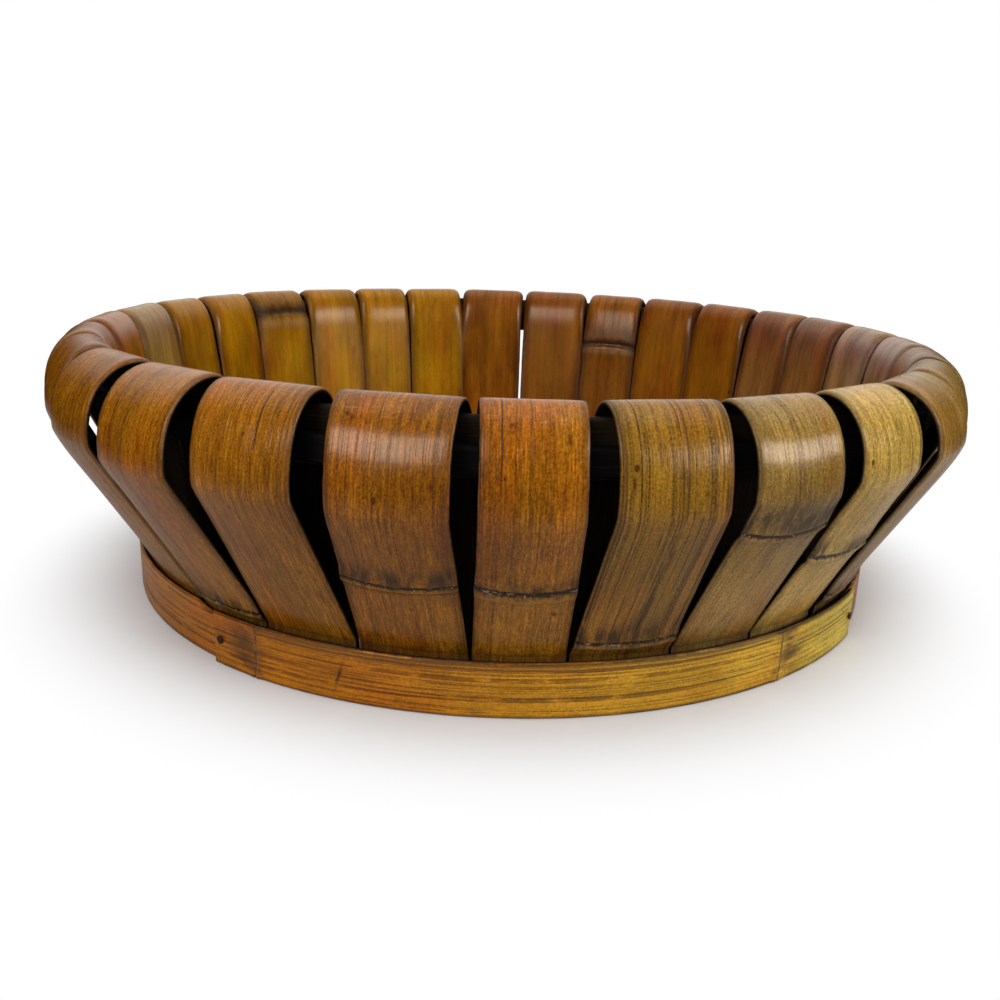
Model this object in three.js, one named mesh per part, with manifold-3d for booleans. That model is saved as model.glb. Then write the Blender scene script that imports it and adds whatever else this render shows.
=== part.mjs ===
// Round basket tray of split bamboo. Slats are folded over a pair of rim hoops, and their ends stand
// round a base board, where two lapped foot bands hold them.
// Millimetres, +Z up, front at -Y. The origin is under the middle, on the surface the basket stands on.

import * as THREE from "three";
import { mergeVertices } from "three/addons/utils/BufferGeometryUtils.js";
import loadManifold from "manifold-3d";

// Slats
const SLAT_COUNT = 30;
const SLAT_WIDTH = 26;
const SLAT_THICKNESS = 1.2;
const SLAT_GAP = 0.4;
const SLAT_END_LIFT = 1;
const FRONT_SLAT_TURN = THREE.MathUtils.degToRad(2.6);

// How much wider than the mean each slat is, from the front one round to the right.
const WIDTH_DIFFERENCES = [
  -1.5, 1.8, 0, 0.6, 0, -0.2, 0, -0.2, 0, -0.2,
  -2.2, -0.4, 0.7, -1.1, 2.4, 2, -1.3, -3.6, -0.7, 0.4,
  -2.7, -3.2, 1.1, 0.7, 0.7, 0.3, 0.7, 0.7, 2, 3.2,
];

// How much further out than the others each slat's fold stands, in the same order.
const FOLD_DIFFERENCES = [
  0, 0.3, 1.5, 1.2, 2.6, 0, 0, 0, 0, 0,
  0, 0.4, 0, 0.3, 0, 0, 0.2, 0, 0.5, 0,
  0.3, 0, 0, 0, 0, 0.3, 3, 4.2, 1.5, 0.3,
];

// Wall
const BASKET_HEIGHT = 86;
const RIM_OVERHANG = 26.2;
const FOLD_WIDTH = 20;
const FOLD_INNER_DROP = 13;
const FOLD_OUTER_DROP = 16.5;
const FOLD_SWAY = 0.6;
const KNEE_DROP = 8.1;
const KNEE_REACH = 15;
const LEG_CROWN = 1.8;
const INNER_HEEL_REACH = 4;
const HEEL_LIFT = 2;
const HEEL_BEND_SHARE = 0.9;
const HEEL_RISE = 4.2;
const HEEL_REACH = 4.9;

// Foot
const FOOT_BAND_HEIGHT = 16;
const FOOT_BAND_THICKNESS = 1.5;
const FRONT_BAND_FROM = THREE.MathUtils.degToRad(-37.4);
const FRONT_BAND_TO = THREE.MathUtils.degToRad(57.4);
const BAND_LAP = 28;
const BOARD_THICKNESS = 8;
const BOARD_LIFT = 4;
const BOARD_EDGE_BREAK = 0.6;

// Rim hoops
const INNER_HOOP_THICKNESS = 3.5;
const INNER_HOOP_HEIGHT = 15;
const INNER_HOOP_INSET = 6.2;
const OUTER_HOOP_THICKNESS = 4;
const OUTER_HOOP_HEIGHT = 7;
const OUTER_HOOP_DROP = 6.2;
const OUTER_HOOP_JOINT_TURN = THREE.MathUtils.degToRad(-19);
const OUTER_HOOP_JOINT_GAP = 5;

// Lap tacks
const TACK_SHANK_DIAMETER = 1.2;
const TACK_HEAD_DIAMETER = 2.4;
const TACK_HEAD_THICKNESS = 0.5;
const TACK_GRIP = 8;
const TACK_POINT = 2;
const TACK_END_DISTANCE = 3.5;
const TACK_HEIGHT = 8;

// Fits and facets
const SEAT_GAP = 0.3;
const HOOP_FACETS = 90;
const ARC_FACET = THREE.MathUtils.degToRad(4);
const TACK_FACETS = 12;

// Finishes
const AMBER_SKIN = 0xb5752f;
const OLIVE_SKIN = 0x9a7a3c;
const GOLD_BAND = 0xb98a3e;
const STAINED_HOOP = 0x26211e;
const BROWN_BOARD = 0x4a2f1b;
const DARK_STEEL = 0x2b2623;

const QUARTER_TURN = Math.PI / 2;
const GOLDEN_ANGLE = Math.PI * (3 - Math.sqrt(5));

// Places that follow from the sizes. Radii of a slat are taken at the middle of its thickness.
const slatWidths = Array.from({ length: SLAT_COUNT }, (_, index) => {
  return SLAT_WIDTH + WIDTH_DIFFERENCES[index % WIDTH_DIFFERENCES.length];
});
const pocketLength = slatWidths.reduce((sum, width) => sum + width + SLAT_GAP, 0);
const pocketRadius = pocketLength / (2 * Math.PI);
const innerEndRadius = pocketRadius + SLAT_THICKNESS / 2;
const outerEndRadius = innerEndRadius + SLAT_THICKNESS + SEAT_GAP;
const backBandRadius = outerEndRadius + SLAT_THICKNESS / 2 + SEAT_GAP;
const frontBandRadius = backBandRadius + FOOT_BAND_THICKNESS + SEAT_GAP;
const boardRadius = pocketRadius - SEAT_GAP;
const boardTop = BOARD_LIFT + BOARD_THICKNESS;
const bulgeRadius = outerEndRadius + RIM_OVERHANG;
const foldRadius = bulgeRadius - FOLD_WIDTH;
const crestRadius = bulgeRadius - FOLD_WIDTH / 2;
const crestHeight = BASKET_HEIGHT - SLAT_THICKNESS / 2;
const kneeHeight = crestHeight - FOLD_OUTER_DROP - KNEE_DROP;
const heelHeight = FOOT_BAND_HEIGHT + HEEL_LIFT;
const legFootHeight = heelHeight + HEEL_RISE;

const solids = await loadManifold();
solids.setup();

function finish(colour, roughness, metalness = 0) {
  return new THREE.MeshStandardMaterial({ color: colour, roughness, metalness });
}

function piece(name, geometry, material) {
  const mesh = new THREE.Mesh(geometry, material);
  mesh.name = name;
  return mesh;
}

// Takes the tool's volume out of a geometry. Both are closed.
function cut(geometry, tool) {
  const body = toManifold(geometry).subtract(toManifold(tool)).getMesh();
  const result = new THREE.BufferGeometry();
  result.setAttribute("position", new THREE.BufferAttribute(body.vertProperties, 3));
  result.setIndex(new THREE.BufferAttribute(body.triVerts, 1));
  return result;
}

function toManifold(geometry) {
  const bare = new THREE.BufferGeometry();
  bare.setAttribute("position", geometry.getAttribute("position"));
  bare.setIndex(geometry.index);
  const merged = mergeVertices(bare, 1e-4);
  return new solids.Manifold(new solids.Mesh({
    numProp: 3,
    vertProperties: new Float32Array(merged.getAttribute("position").array),
    triVerts: new Uint32Array(merged.index.array),
  }));
}

// A line through corners, each rounded by a curve that leaves and meets the straight runs at its reaches.
function roundedLine(corners) {
  const points = [corners[0].at];
  for (let index = 1; index < corners.length - 1; index += 1) {
    const { at, before, after, steps } = corners[index];
    const start = new THREE.Vector2().subVectors(corners[index - 1].at, at).setLength(before).add(at);
    const end = new THREE.Vector2().subVectors(corners[index + 1].at, at).setLength(after).add(at);
    points.push(...new THREE.QuadraticBezierCurve(start, at, end).getPoints(steps));
  }
  points.push(corners[corners.length - 1].at);
  return points.filter((point, index) => index === 0 || point.distanceTo(points[index - 1]) > 1e-3);
}

// The bend of a slat, from its inner end over the rim to its outer end: x is a radius, y a height.
function slatBend(foldDifference) {
  const outside = bulgeRadius + foldDifference;
  const halfFold = FOLD_WIDTH / 2;
  return roundedLine([
    { at: new THREE.Vector2(innerEndRadius, SLAT_END_LIFT) },
    {
      at: new THREE.Vector2(innerEndRadius, boardTop),
      before: INNER_HEEL_REACH / 2,
      after: INNER_HEEL_REACH,
      steps: 1,
    },
    { at: new THREE.Vector2(foldRadius, crestHeight), before: FOLD_INNER_DROP, after: halfFold, steps: 4 },
    {
      at: new THREE.Vector2(outside, crestHeight),
      before: halfFold + foldDifference,
      after: FOLD_OUTER_DROP,
      steps: 4,
    },
    { at: new THREE.Vector2(outside, kneeHeight), before: KNEE_DROP, after: KNEE_REACH, steps: 2 },
    {
      at: new THREE.Vector2(outerEndRadius + HEEL_REACH, legFootHeight),
      before: HEEL_RISE,
      after: HEEL_RISE / 2,
      steps: 1,
    },
    {
      at: new THREE.Vector2(outerEndRadius, heelHeight),
      before: HEEL_RISE / 2,
      after: HEEL_LIFT * HEEL_BEND_SHARE,
      steps: 1,
    },
    { at: new THREE.Vector2(outerEndRadius, SLAT_END_LIFT) },
  ]);
}

// Unit normal on the skin side of a bend.
function skinNormal(bend, index) {
  const before = bend[Math.max(index - 1, 0)];
  const after = bend[Math.min(index + 1, bend.length - 1)];
  const along = new THREE.Vector2().subVectors(after, before).normalize();
  return new THREE.Vector2(-along.y, along.x);
}

// How far the middle of a slat stands out from its edges, on the skin side. The ends lie round the
// foot, the fold is flat and the outer leg keeps some of the round of the culm.
function crownAt(bend, station, width) {
  const { lerp, smoothstep } = THREE.MathUtils;
  const height = bend[station].y;
  const roundFoot = width ** 2 / (8 * outerEndRadius);
  if (station < bend.length / 2 && bend[station].x < crestRadius) {
    return -roundFoot * (1 - smoothstep(height, boardTop, crestHeight - FOLD_INNER_DROP));
  }
  const legShare = smoothstep(height, heelHeight, legFootHeight + HEEL_RISE);
  const flattened = smoothstep(height, kneeHeight - KNEE_REACH, crestHeight);
  return lerp(roundFoot, LEG_CROWN, legShare) * (1 - flattened);
}

// One slat in the front position: lateral along X, outwards along -Y.
function slatGeometry(width, foldDifference, sway) {
  const bend = slatBend(foldDifference);
  const across = [-1, -1 / 3, 1 / 3, 1];
  const ringSize = across.length * 2;
  const positions = [];
  bend.forEach((point, station) => {
    const normal = skinNormal(bend, station);
    const crown = crownAt(bend, station, width);
    const shift = sway * Math.sin((Math.PI * station) / (bend.length - 1));
    const place = (side, depth) => {
      const out = depth - crown * side ** 2;
      const radius = point.x + normal.x * out;
      const height = point.y + normal.y * out;
      positions.push((side * width) / 2 + shift, -radius, height);
    };
    across.forEach((side) => place(side, SLAT_THICKNESS / 2));
    across.toReversed().forEach((side) => place(side, -SLAT_THICKNESS / 2));
  });

  const triangles = [];
  for (let station = 0; station < bend.length - 1; station += 1) {
    for (let corner = 0; corner < ringSize; corner += 1) {
      const a = station * ringSize + corner;
      const b = station * ringSize + ((corner + 1) % ringSize);
      triangles.push(a, a + ringSize, b + ringSize, a, b + ringSize, b);
    }
  }
  const last = (bend.length - 1) * ringSize;
  for (let strip = 0; strip < across.length - 1; strip += 1) {
    const below = ringSize - 1 - strip;
    triangles.push(strip, strip + 1, below - 1, strip, below - 1, below);
    triangles.push(last + strip, last + below - 1, last + strip + 1);
    triangles.push(last + strip, last + below, last + below - 1);
  }

  const geometry = new THREE.BufferGeometry();
  geometry.setAttribute("position", new THREE.Float32BufferAttribute(positions, 3));
  geometry.setIndex(triangles);
  return geometry;
}

// An upright strip bent round the basket between two turns, which count from the front to the right.
function arcBand(innerRadius, thickness, height, from, to) {
  const shape = new THREE.Shape();
  shape.absarc(0, 0, innerRadius + thickness, from - QUARTER_TURN, to - QUARTER_TURN, false);
  shape.absarc(0, 0, innerRadius, to - QUARTER_TURN, from - QUARTER_TURN, true);
  const curveSegments = Math.ceil((to - from) / ARC_FACET / 2);
  return new THREE.ExtrudeGeometry(shape, { depth: height, bevelEnabled: false, curveSegments });
}

function lathe(profile, facets) {
  const points = profile.map(([radius, height]) => new THREE.Vector2(radius, height));
  return new THREE.LatheGeometry(points, facets).rotateX(QUARTER_TURN);
}

function baseBoard() {
  const flatRadius = boardRadius - BOARD_EDGE_BREAK;
  return lathe([
    [0, 0],
    [flatRadius, 0],
    [boardRadius, BOARD_EDGE_BREAK],
    [boardRadius, BOARD_THICKNESS - BOARD_EDGE_BREAK],
    [flatRadius, BOARD_THICKNESS],
    [0, BOARD_THICKNESS],
  ], HOOP_FACETS).translate(0, 0, BOARD_LIFT);
}

// Height under the fold at a radius, taken on the pith side of the bend.
function underFold(radius) {
  const bend = slatBend(0);
  const pith = bend.map((point, index) => {
    return skinNormal(bend, index).multiplyScalar(-SLAT_THICKNESS / 2).add(point);
  });
  const next = pith.findIndex((point, index) => point.x >= radius && bend[index].y > kneeHeight);
  const share = (radius - pith[next - 1].x) / (pith[next].x - pith[next - 1].x);
  return THREE.MathUtils.lerp(pith[next - 1].y, pith[next].y, share);
}

const innerHoopRadius = crestRadius - INNER_HOOP_INSET;
const halfWidest = Math.max(...slatWidths) / 2;
const innerHoopTop = underFold(Math.sqrt(innerHoopRadius ** 2 - halfWidest ** 2)) - SEAT_GAP;
const outerHoopRadius = innerHoopRadius + INNER_HOOP_THICKNESS + SEAT_GAP;
const outerHoopTop = innerHoopTop - OUTER_HOOP_DROP;

function innerHoop() {
  const outside = innerHoopRadius + INNER_HOOP_THICKNESS;
  return lathe([
    [innerHoopRadius, 0],
    [outside, 0],
    [outside, INNER_HOOP_HEIGHT],
    [innerHoopRadius, INNER_HOOP_HEIGHT],
    [innerHoopRadius, 0],
  ], HOOP_FACETS).translate(0, 0, innerHoopTop - INNER_HOOP_HEIGHT);
}

function outerHoop() {
  const halfGap = OUTER_HOOP_JOINT_GAP / 2 / outerHoopRadius;
  const from = OUTER_HOOP_JOINT_TURN + halfGap;
  const to = OUTER_HOOP_JOINT_TURN + 2 * Math.PI - halfGap;
  return arcBand(outerHoopRadius, OUTER_HOOP_THICKNESS, OUTER_HOOP_HEIGHT, from, to)
    .translate(0, 0, outerHoopTop - OUTER_HOOP_HEIGHT);
}

// Tacks stand in the front position with the point towards the middle, like slats.
const tackSeat = frontBandRadius + FOOT_BAND_THICKNESS + SEAT_GAP;
const tackPoint = boardRadius - TACK_GRIP;

function tackGeometry() {
  const shank = TACK_SHANK_DIAMETER / 2;
  const head = TACK_HEAD_DIAMETER / 2;
  return lathe([
    [0, 0],
    [shank, TACK_POINT],
    [shank, tackSeat - tackPoint],
    [head, tackSeat - tackPoint],
    [head, tackSeat - tackPoint + TACK_HEAD_THICKNESS],
    [0, tackSeat - tackPoint + TACK_HEAD_THICKNESS],
  ], TACK_FACETS).rotateX(QUARTER_TURN).translate(0, -tackPoint, TACK_HEIGHT);
}

function tackHole(turn) {
  const radius = TACK_SHANK_DIAMETER / 2 + SEAT_GAP;
  const inner = tackPoint - SEAT_GAP;
  const length = tackSeat + SEAT_GAP - inner;
  return new THREE.CylinderGeometry(radius, radius, length, TACK_FACETS)
    .translate(0, -inner - length / 2, TACK_HEIGHT)
    .rotateZ(turn);
}

const tackInset = TACK_END_DISTANCE / frontBandRadius;
const tackTurns = [FRONT_BAND_FROM + tackInset, FRONT_BAND_TO - tackInset];

function drilled(geometry, turns) {
  return turns.reduce((body, turn) => cut(body, tackHole(turn)), geometry);
}

// The turn from one place to another, between minus and plus half a turn.
function shortestTurn(from, to) {
  return THREE.MathUtils.euclideanModulo(to - from + Math.PI, 2 * Math.PI) - Math.PI;
}

function slats() {
  const group = new THREE.Group();
  const turnPerLength = (2 * Math.PI) / pocketLength;
  let turn = FRONT_SLAT_TURN - (slatWidths[0] / 2) * turnPerLength;
  slatWidths.forEach((width, index) => {
    const centre = turn + (width / 2) * turnPerLength;
    turn += (width + SLAT_GAP) * turnPerLength;
    const reach = (width / 2 + TACK_SHANK_DIAMETER) * turnPerLength;
    const local = tackTurns
      .map((tackTurn) => shortestTurn(centre, tackTurn))
      .filter((offset) => Math.abs(offset) < reach);
    const sway = FOLD_SWAY * Math.sin(index * GOLDEN_ANGLE);
    const foldDifference = FOLD_DIFFERENCES[index % FOLD_DIFFERENCES.length];
    const geometry = drilled(slatGeometry(width, foldDifference, sway), local);
    const oliveShare = (1 + Math.sin(centre)) / 2;
    const shade = new THREE.Color(AMBER_SKIN).lerp(new THREE.Color(OLIVE_SKIN), oliveShare);
    const name = `slat_${String(index + 1).padStart(2, "0")}`;
    const slat = piece(name, geometry, finish(shade, 0.42));
    slat.rotation.z = centre;
    group.add(slat);
  });
  return group;
}

function rim() {
  const group = new THREE.Group();
  const stain = finish(STAINED_HOOP, 0.7);
  group.add(piece("rim_hoop_inner", innerHoop(), stain));
  group.add(piece("rim_hoop_outer", outerHoop(), stain));
  return group;
}

function foot() {
  const group = new THREE.Group();
  const bandFinish = finish(GOLD_BAND, 0.4);
  const lap = BAND_LAP / frontBandRadius;
  const front = arcBand(
    frontBandRadius,
    FOOT_BAND_THICKNESS,
    FOOT_BAND_HEIGHT,
    FRONT_BAND_FROM,
    FRONT_BAND_TO,
  );
  const back = arcBand(
    backBandRadius,
    FOOT_BAND_THICKNESS,
    FOOT_BAND_HEIGHT,
    FRONT_BAND_TO - lap,
    FRONT_BAND_FROM + lap + 2 * Math.PI,
  );
  group.add(piece("foot_band_front", drilled(front, tackTurns), bandFinish));
  group.add(piece("foot_band_back", drilled(back, tackTurns), bandFinish));
  group.add(piece("base_board", drilled(baseBoard(), tackTurns), finish(BROWN_BOARD, 0.6)));
  ["lap_tack_left", "lap_tack_right"].forEach((name, index) => {
    const tack = piece(name, tackGeometry(), finish(DARK_STEEL, 0.5, 0.8));
    tack.rotation.z = tackTurns[index];
    group.add(tack);
  });
  return group;
}

const basket = new THREE.Group();
basket.add(slats(), rim(), foot());

export default basket;
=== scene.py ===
"""Looks of a round basket tray: split bamboo slats folded over a rim hoop, on a lapped foot band."""

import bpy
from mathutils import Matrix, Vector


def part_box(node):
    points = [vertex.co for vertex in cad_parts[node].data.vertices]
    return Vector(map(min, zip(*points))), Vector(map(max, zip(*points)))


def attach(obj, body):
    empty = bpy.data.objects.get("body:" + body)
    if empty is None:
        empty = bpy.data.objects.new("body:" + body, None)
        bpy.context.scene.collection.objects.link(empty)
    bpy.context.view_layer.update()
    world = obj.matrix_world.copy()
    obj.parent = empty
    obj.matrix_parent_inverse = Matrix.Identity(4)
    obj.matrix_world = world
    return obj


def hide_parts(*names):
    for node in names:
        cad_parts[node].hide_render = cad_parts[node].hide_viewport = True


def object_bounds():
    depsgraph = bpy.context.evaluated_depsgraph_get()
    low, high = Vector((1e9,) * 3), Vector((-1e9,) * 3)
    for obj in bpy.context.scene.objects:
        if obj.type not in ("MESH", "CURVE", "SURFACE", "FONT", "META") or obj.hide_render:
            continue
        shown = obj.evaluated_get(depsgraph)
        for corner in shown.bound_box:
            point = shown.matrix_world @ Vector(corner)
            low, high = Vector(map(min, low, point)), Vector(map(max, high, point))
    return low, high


bl_info = {
    "name": "Split bamboo basket tray",
    "version": (1, 0, 0),
    "blender": (4, 5, 0),
    "location": "View3D > Sidebar > Basket",
    "description": "Makes the slats, hoops, foot bands, board and tacks of a bamboo basket tray",
    "category": "Object",
}

import math
from collections import namedtuple

import bpy
import bmesh
from bpy.props import FloatProperty, FloatVectorProperty, IntProperty, PointerProperty, StringProperty
from mathutils import Matrix, Vector

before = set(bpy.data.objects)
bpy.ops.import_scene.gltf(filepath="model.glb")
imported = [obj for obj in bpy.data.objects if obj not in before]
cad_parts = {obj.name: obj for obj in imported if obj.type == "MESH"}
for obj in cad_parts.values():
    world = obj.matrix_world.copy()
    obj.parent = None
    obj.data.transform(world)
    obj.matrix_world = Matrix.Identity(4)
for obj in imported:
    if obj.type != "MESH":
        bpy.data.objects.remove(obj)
CAD_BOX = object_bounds()
BODY = "root"

SLAT_NODES = sorted(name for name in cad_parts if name.startswith("slat_"))
HOOP_NODES = ("rim_hoop_inner", "rim_hoop_outer")
BAND_NODES = ("foot_band_front", "foot_band_back")
BOARD_NODE = "base_board"
TACK_NODES = ("lap_tack_left", "lap_tack_right")
BOARD_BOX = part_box(BOARD_NODE)
BOARD_TOP = BOARD_BOX[1].z
BAND_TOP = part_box(BAND_NODES[0])[1].z

# Culm nodes on outer legs and on inner walls: slat number, height, how bold, and how far soot reaches up.
Node = namedtuple("Node", "height size soot")
LEG_NODES = {
    1: Node(0.0405, 1.7, 0.0028),
    2: Node(0.0215, 1.1, 0.005),
    3: Node(0.055, 0.9, 0.007),
    4: Node(0.0425, 1.3, 0.0035),
    5: Node(0.02, 1.2, 0.003),
    28: Node(0.019, 1.0, 0.003),
    30: Node(0.0405, 0.8, 0.004),
}
WALL_NODES = {14: Node(0.0625, 2.4, 0.007), 20: Node(0.0765, 3.4, 0.005)}
NO_NODE = -1.0

# Of the legs round the back, every third has a node, at a height of its own.
HIDDEN_LEGS = range(7, 27)
HIDDEN_NODE_STEP = 3
HIDDEN_NODE_SIZE = 1.2
HIDDEN_NODE_SOOT = 0.003
HIDDEN_NODE_LOW = 0.028
HIDDEN_NODE_REACH = 0.04
GOLDEN_SHARE = (math.sqrt(5) - 1) / 2

# Drying cracks: slat number, side offset, and the heights that the crack runs between on the outside.
Crack = namedtuple("Crack", "side top bottom")
CRACKS = {
    1: Crack(-0.0072, 0.086, 0.0655),
    2: Crack(0.0062, 0.062, 0.036),
    29: Crack(0.0045, 0.0845, 0.07),
}
NO_CRACK = (0.0, -1.0, -1.0)

# Knots and nicks on the outside: slat number, then side offset, height and half length of each.
Spot = namedtuple("Spot", "side height length")
SPOTS = {
    1: (Spot(-0.005, 0.0812, 0.0006), Spot(0.0077, 0.0785, 0.0014), Spot(-0.0066, 0.0705, 0.0006)),
    2: (Spot(-0.0105, 0.0695, 0.0018), Spot(0.004, 0.0625, 0.0008), Spot(0.0095, 0.05, 0.0007)),
    29: (Spot(0.001, 0.0755, 0.0006), Spot(-0.003, 0.058, 0.0008), Spot(0.008, 0.04, 0.0006)),
    30: (Spot(0.0105, 0.068, 0.001), Spot(-0.009, 0.081, 0.0006), Spot(0.002, 0.032, 0.0006)),
}
SPOT_NAMES = ("Spot One", "Spot Two", "Spot Three")
NO_SPOT = (0.0, -1.0, 0.001)

# Slats that lean to a side halfway up: slat number, and how far its wall and its leg go to larger turns.
Lean = namedtuple("Lean", "wall leg")
UPRIGHT = Lean(0.0, 0.0)
LEANS = {
    1: Lean(-0.0008, 0.0),
    2: Lean(-0.001, 0.0),
    5: Lean(0.0, 0.0025),
    6: Lean(0.0, -0.0025),
    7: Lean(0.0008, 0.0),
    8: Lean(-0.0008, 0.0),
    15: Lean(-0.0006, -0.0035),
    16: Lean(0.0018, 0.0035),
    17: Lean(-0.001, 0.0),
    20: Lean(-0.0006, -0.003),
    21: Lean(0.0004, 0.003),
    22: Lean(0.0014, 0.0),
    24: Lean(0.0, -0.003),
    25: Lean(0.0, 0.003),
    27: Lean(0.0009, 0.0),
    28: Lean(-0.0007, 0.0),
    30: Lean(0.002, 0.0),
}

# How streaked and how flecked each colour of skin is, and how it fades from the inner to the outer end.
Skin = namedtuple("Skin", "streaks flecks fade")
WARM_FADE = (1.05, 1.36, 3.4)
SKINS = {
    "amber": Skin(0.3, 0.8, WARM_FADE),
    "russet": Skin(0.5, 0.75, WARM_FADE),
    "olive": Skin(1.0, 0.35, (1.0, 1.08, 1.8)),
    "drab": Skin(0.5, 0.5, (1.0, 1.05, 1.6)),
    "straw": Skin(0.45, 0.45, (1.4, 1.4, 1.9)),
    "gold": Skin(0.25, 0.5, WARM_FADE),
    "mauve": Skin(0.5, 0.6, (1.05, 1.1, 0.8)),
    # skin of slats 8 and 9, paler in part from a painted haze
    "taupe": Skin(0.5, 0.5, (1.0, 1.0, 0.7)),
}
SKIN_LETTERS = {name[0].upper(): name for name in SKINS}
SLAT_FADE = 4.0

# Growth marks, mesh and seed of the foot bands and of the rim hoops
BAND_STREAKS = 0.85
BAND_FLECKS = 0.22
BAND_FADE = 2.0
BAND_NODE_SIZE = 0.6
BAND_NODE_BOW = 0.0006
BAND_SWELL_SHARE = 0.5
BAND_GROOVE_SHARE = 0.6
BACK_BAND_NODES = (0.28, 0.71)
BAND_STEP = 0.0006
BAND_STEPS_ROUND = 29
BAND_SEED = 50.0
HOOP_STEPS_ALONG = 900
HOOP_STEPS_ROUND = 25
HOOP_SEED = 40.0

# A tack from its point up, as radius and height in shank radii, and its head in head radii
TACK_POINT = ((0.0, 0.0), (0.5, 1.6), (1.0, 3.3))
TACK_HEAD_HEIGHT = 0.42
TACK_HEAD_FOOT = 0.94
TACK_LIP_SHARE = 0.4
DOME_STEPS = 5

BOARD_RINGS = (0.35, 0.7)
EASE_STEPS = 6


class Value:
    """A node's socket in an expression. Each operator adds the node that works it out."""

    def __init__(self, graph, socket):
        self.graph = graph
        self.socket = socket

    def of(self, output):
        return Value(self.graph, find_socket(self.socket.node.outputs, output))

    def is_vector(self):
        return self.socket.type in ("VECTOR", "RGBA")

    def worked(self, operation, *others, first=None):
        parts = [self if first is None else first, *others]
        vectors = any(part.is_vector() for part in (self, *others) if isinstance(part, Value))
        kind = "ShaderNodeVectorMath" if vectors else "ShaderNodeMath"
        return self.graph.node(kind, dict(enumerate(parts)), operation=operation)

    def __add__(self, other):
        return self.worked("ADD", other)

    def __sub__(self, other):
        return self.worked("SUBTRACT", other)

    def __mul__(self, other):
        return self.worked("MULTIPLY", other)

    def __truediv__(self, other):
        return self.worked("DIVIDE", other)

    def __pow__(self, other):
        return self.worked("POWER", other)

    def __neg__(self):
        return self.worked("MULTIPLY", -1.0)

    def __abs__(self):
        return self.worked("ABSOLUTE")

    def __rsub__(self, other):
        return self.worked("SUBTRACT", self, first=other)

    def __rtruediv__(self, other):
        return self.worked("DIVIDE", self, first=other)

    def __lt__(self, other):
        return self.worked("LESS_THAN", other)

    def __gt__(self, other):
        return self.worked("GREATER_THAN", other)

    __radd__ = __add__
    __rmul__ = __mul__

    def sine(self):
        return self.worked("SINE")

    def cosine(self):
        return self.worked("COSINE")

    def root(self):
        return self.worked("SQRT")

    def sign(self):
        return self.worked("SIGN")

    def least(self, other):
        return self.worked("MINIMUM", other)

    def most(self, other):
        return self.worked("MAXIMUM", other)

    def hump(self, size):
        """A smooth hump, 1 where the value is 0, that falls away over the size."""
        return (-((self / size) ** 2.0)).worked("EXPONENT")

    def step(self, low, high):
        """A smooth step from 0 at the low value to 1 at the high one."""
        sockets = {"Value": self, "From Min": low, "From Max": high}
        return self.graph.node("ShaderNodeMapRange", sockets, interpolation_type="SMOOTHSTEP")

    def split(self):
        made = self.graph.node("ShaderNodeSeparateXYZ", {0: self})
        return made, made.of("Y"), made.of("Z")


class Graph:
    """A node tree that is written as expressions."""

    def __init__(self, tree):
        self.tree = tree

    def node(self, kind, sockets=None, output=0, **settings):
        made = self.tree.nodes.new(kind)
        for name, setting in settings.items():
            setattr(made, name, setting)
        for name, given in (sockets or {}).items():
            socket = find_socket(made.inputs, name)
            if isinstance(given, Value):
                self.tree.links.new(given.socket, socket)
            else:
                socket.default_value = fitted(given, socket)
        return Value(self, find_socket(made.outputs, output)) if made.outputs else None

    def vector(self, x, y, z):
        return self.node("ShaderNodeCombineXYZ", {"X": x, "Y": y, "Z": z})

    def noise(self, place, detail=2.0, roughness=0.5):
        sockets = {"Vector": place, "Scale": 1.0, "Detail": detail, "Roughness": roughness}
        return self.node("ShaderNodeTexNoise", sockets)

    def mixed(self, share, first, second):
        sockets = {"Factor": share, "A": first, "B": second}
        return self.node("ShaderNodeMix", sockets, output="Result", data_type="RGBA")

    def attribute(self, name, output="Fac"):
        return self.node("ShaderNodeAttribute", output=output, attribute_name=name)


def find_socket(sockets, name):
    if isinstance(name, int):
        return sockets[name]
    for socket in sockets:
        if socket.name == name and socket.enabled:
            return socket
    raise KeyError(f"no socket named {name}")


def fitted(given, socket):
    """A number or a colour in the form that the socket takes."""
    if socket.type == "RGBA":
        return (*given[:3], 1.0)
    if socket.type == "VECTOR" and isinstance(given, (int, float)):
        return (given, given, given)
    return given


LEAST_COUNT = 8


def length_property(name, default, description):
    return FloatProperty(name=name, description=description, default=default, unit="LENGTH", precision=5)


def turn_property(name, default, description):
    return FloatProperty(name=name, description=description, default=default, unit="ROTATION")


def power_property(name, default, description):
    return FloatProperty(name=name, description=description, default=default, unit="POWER")


def count_property(name, default, description):
    return IntProperty(name=name, description=description, default=default, min=LEAST_COUNT)


def colour_property(name, default, description):
    return FloatVectorProperty(
        name=name, description=description, default=default, subtype="COLOR", size=3, min=0.0, max=1.0
    )


def share_property(name, default, description):
    return FloatProperty(
        name=name, description=description, default=default, min=0.0, max=1.0, subtype="FACTOR"
    )


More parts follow.
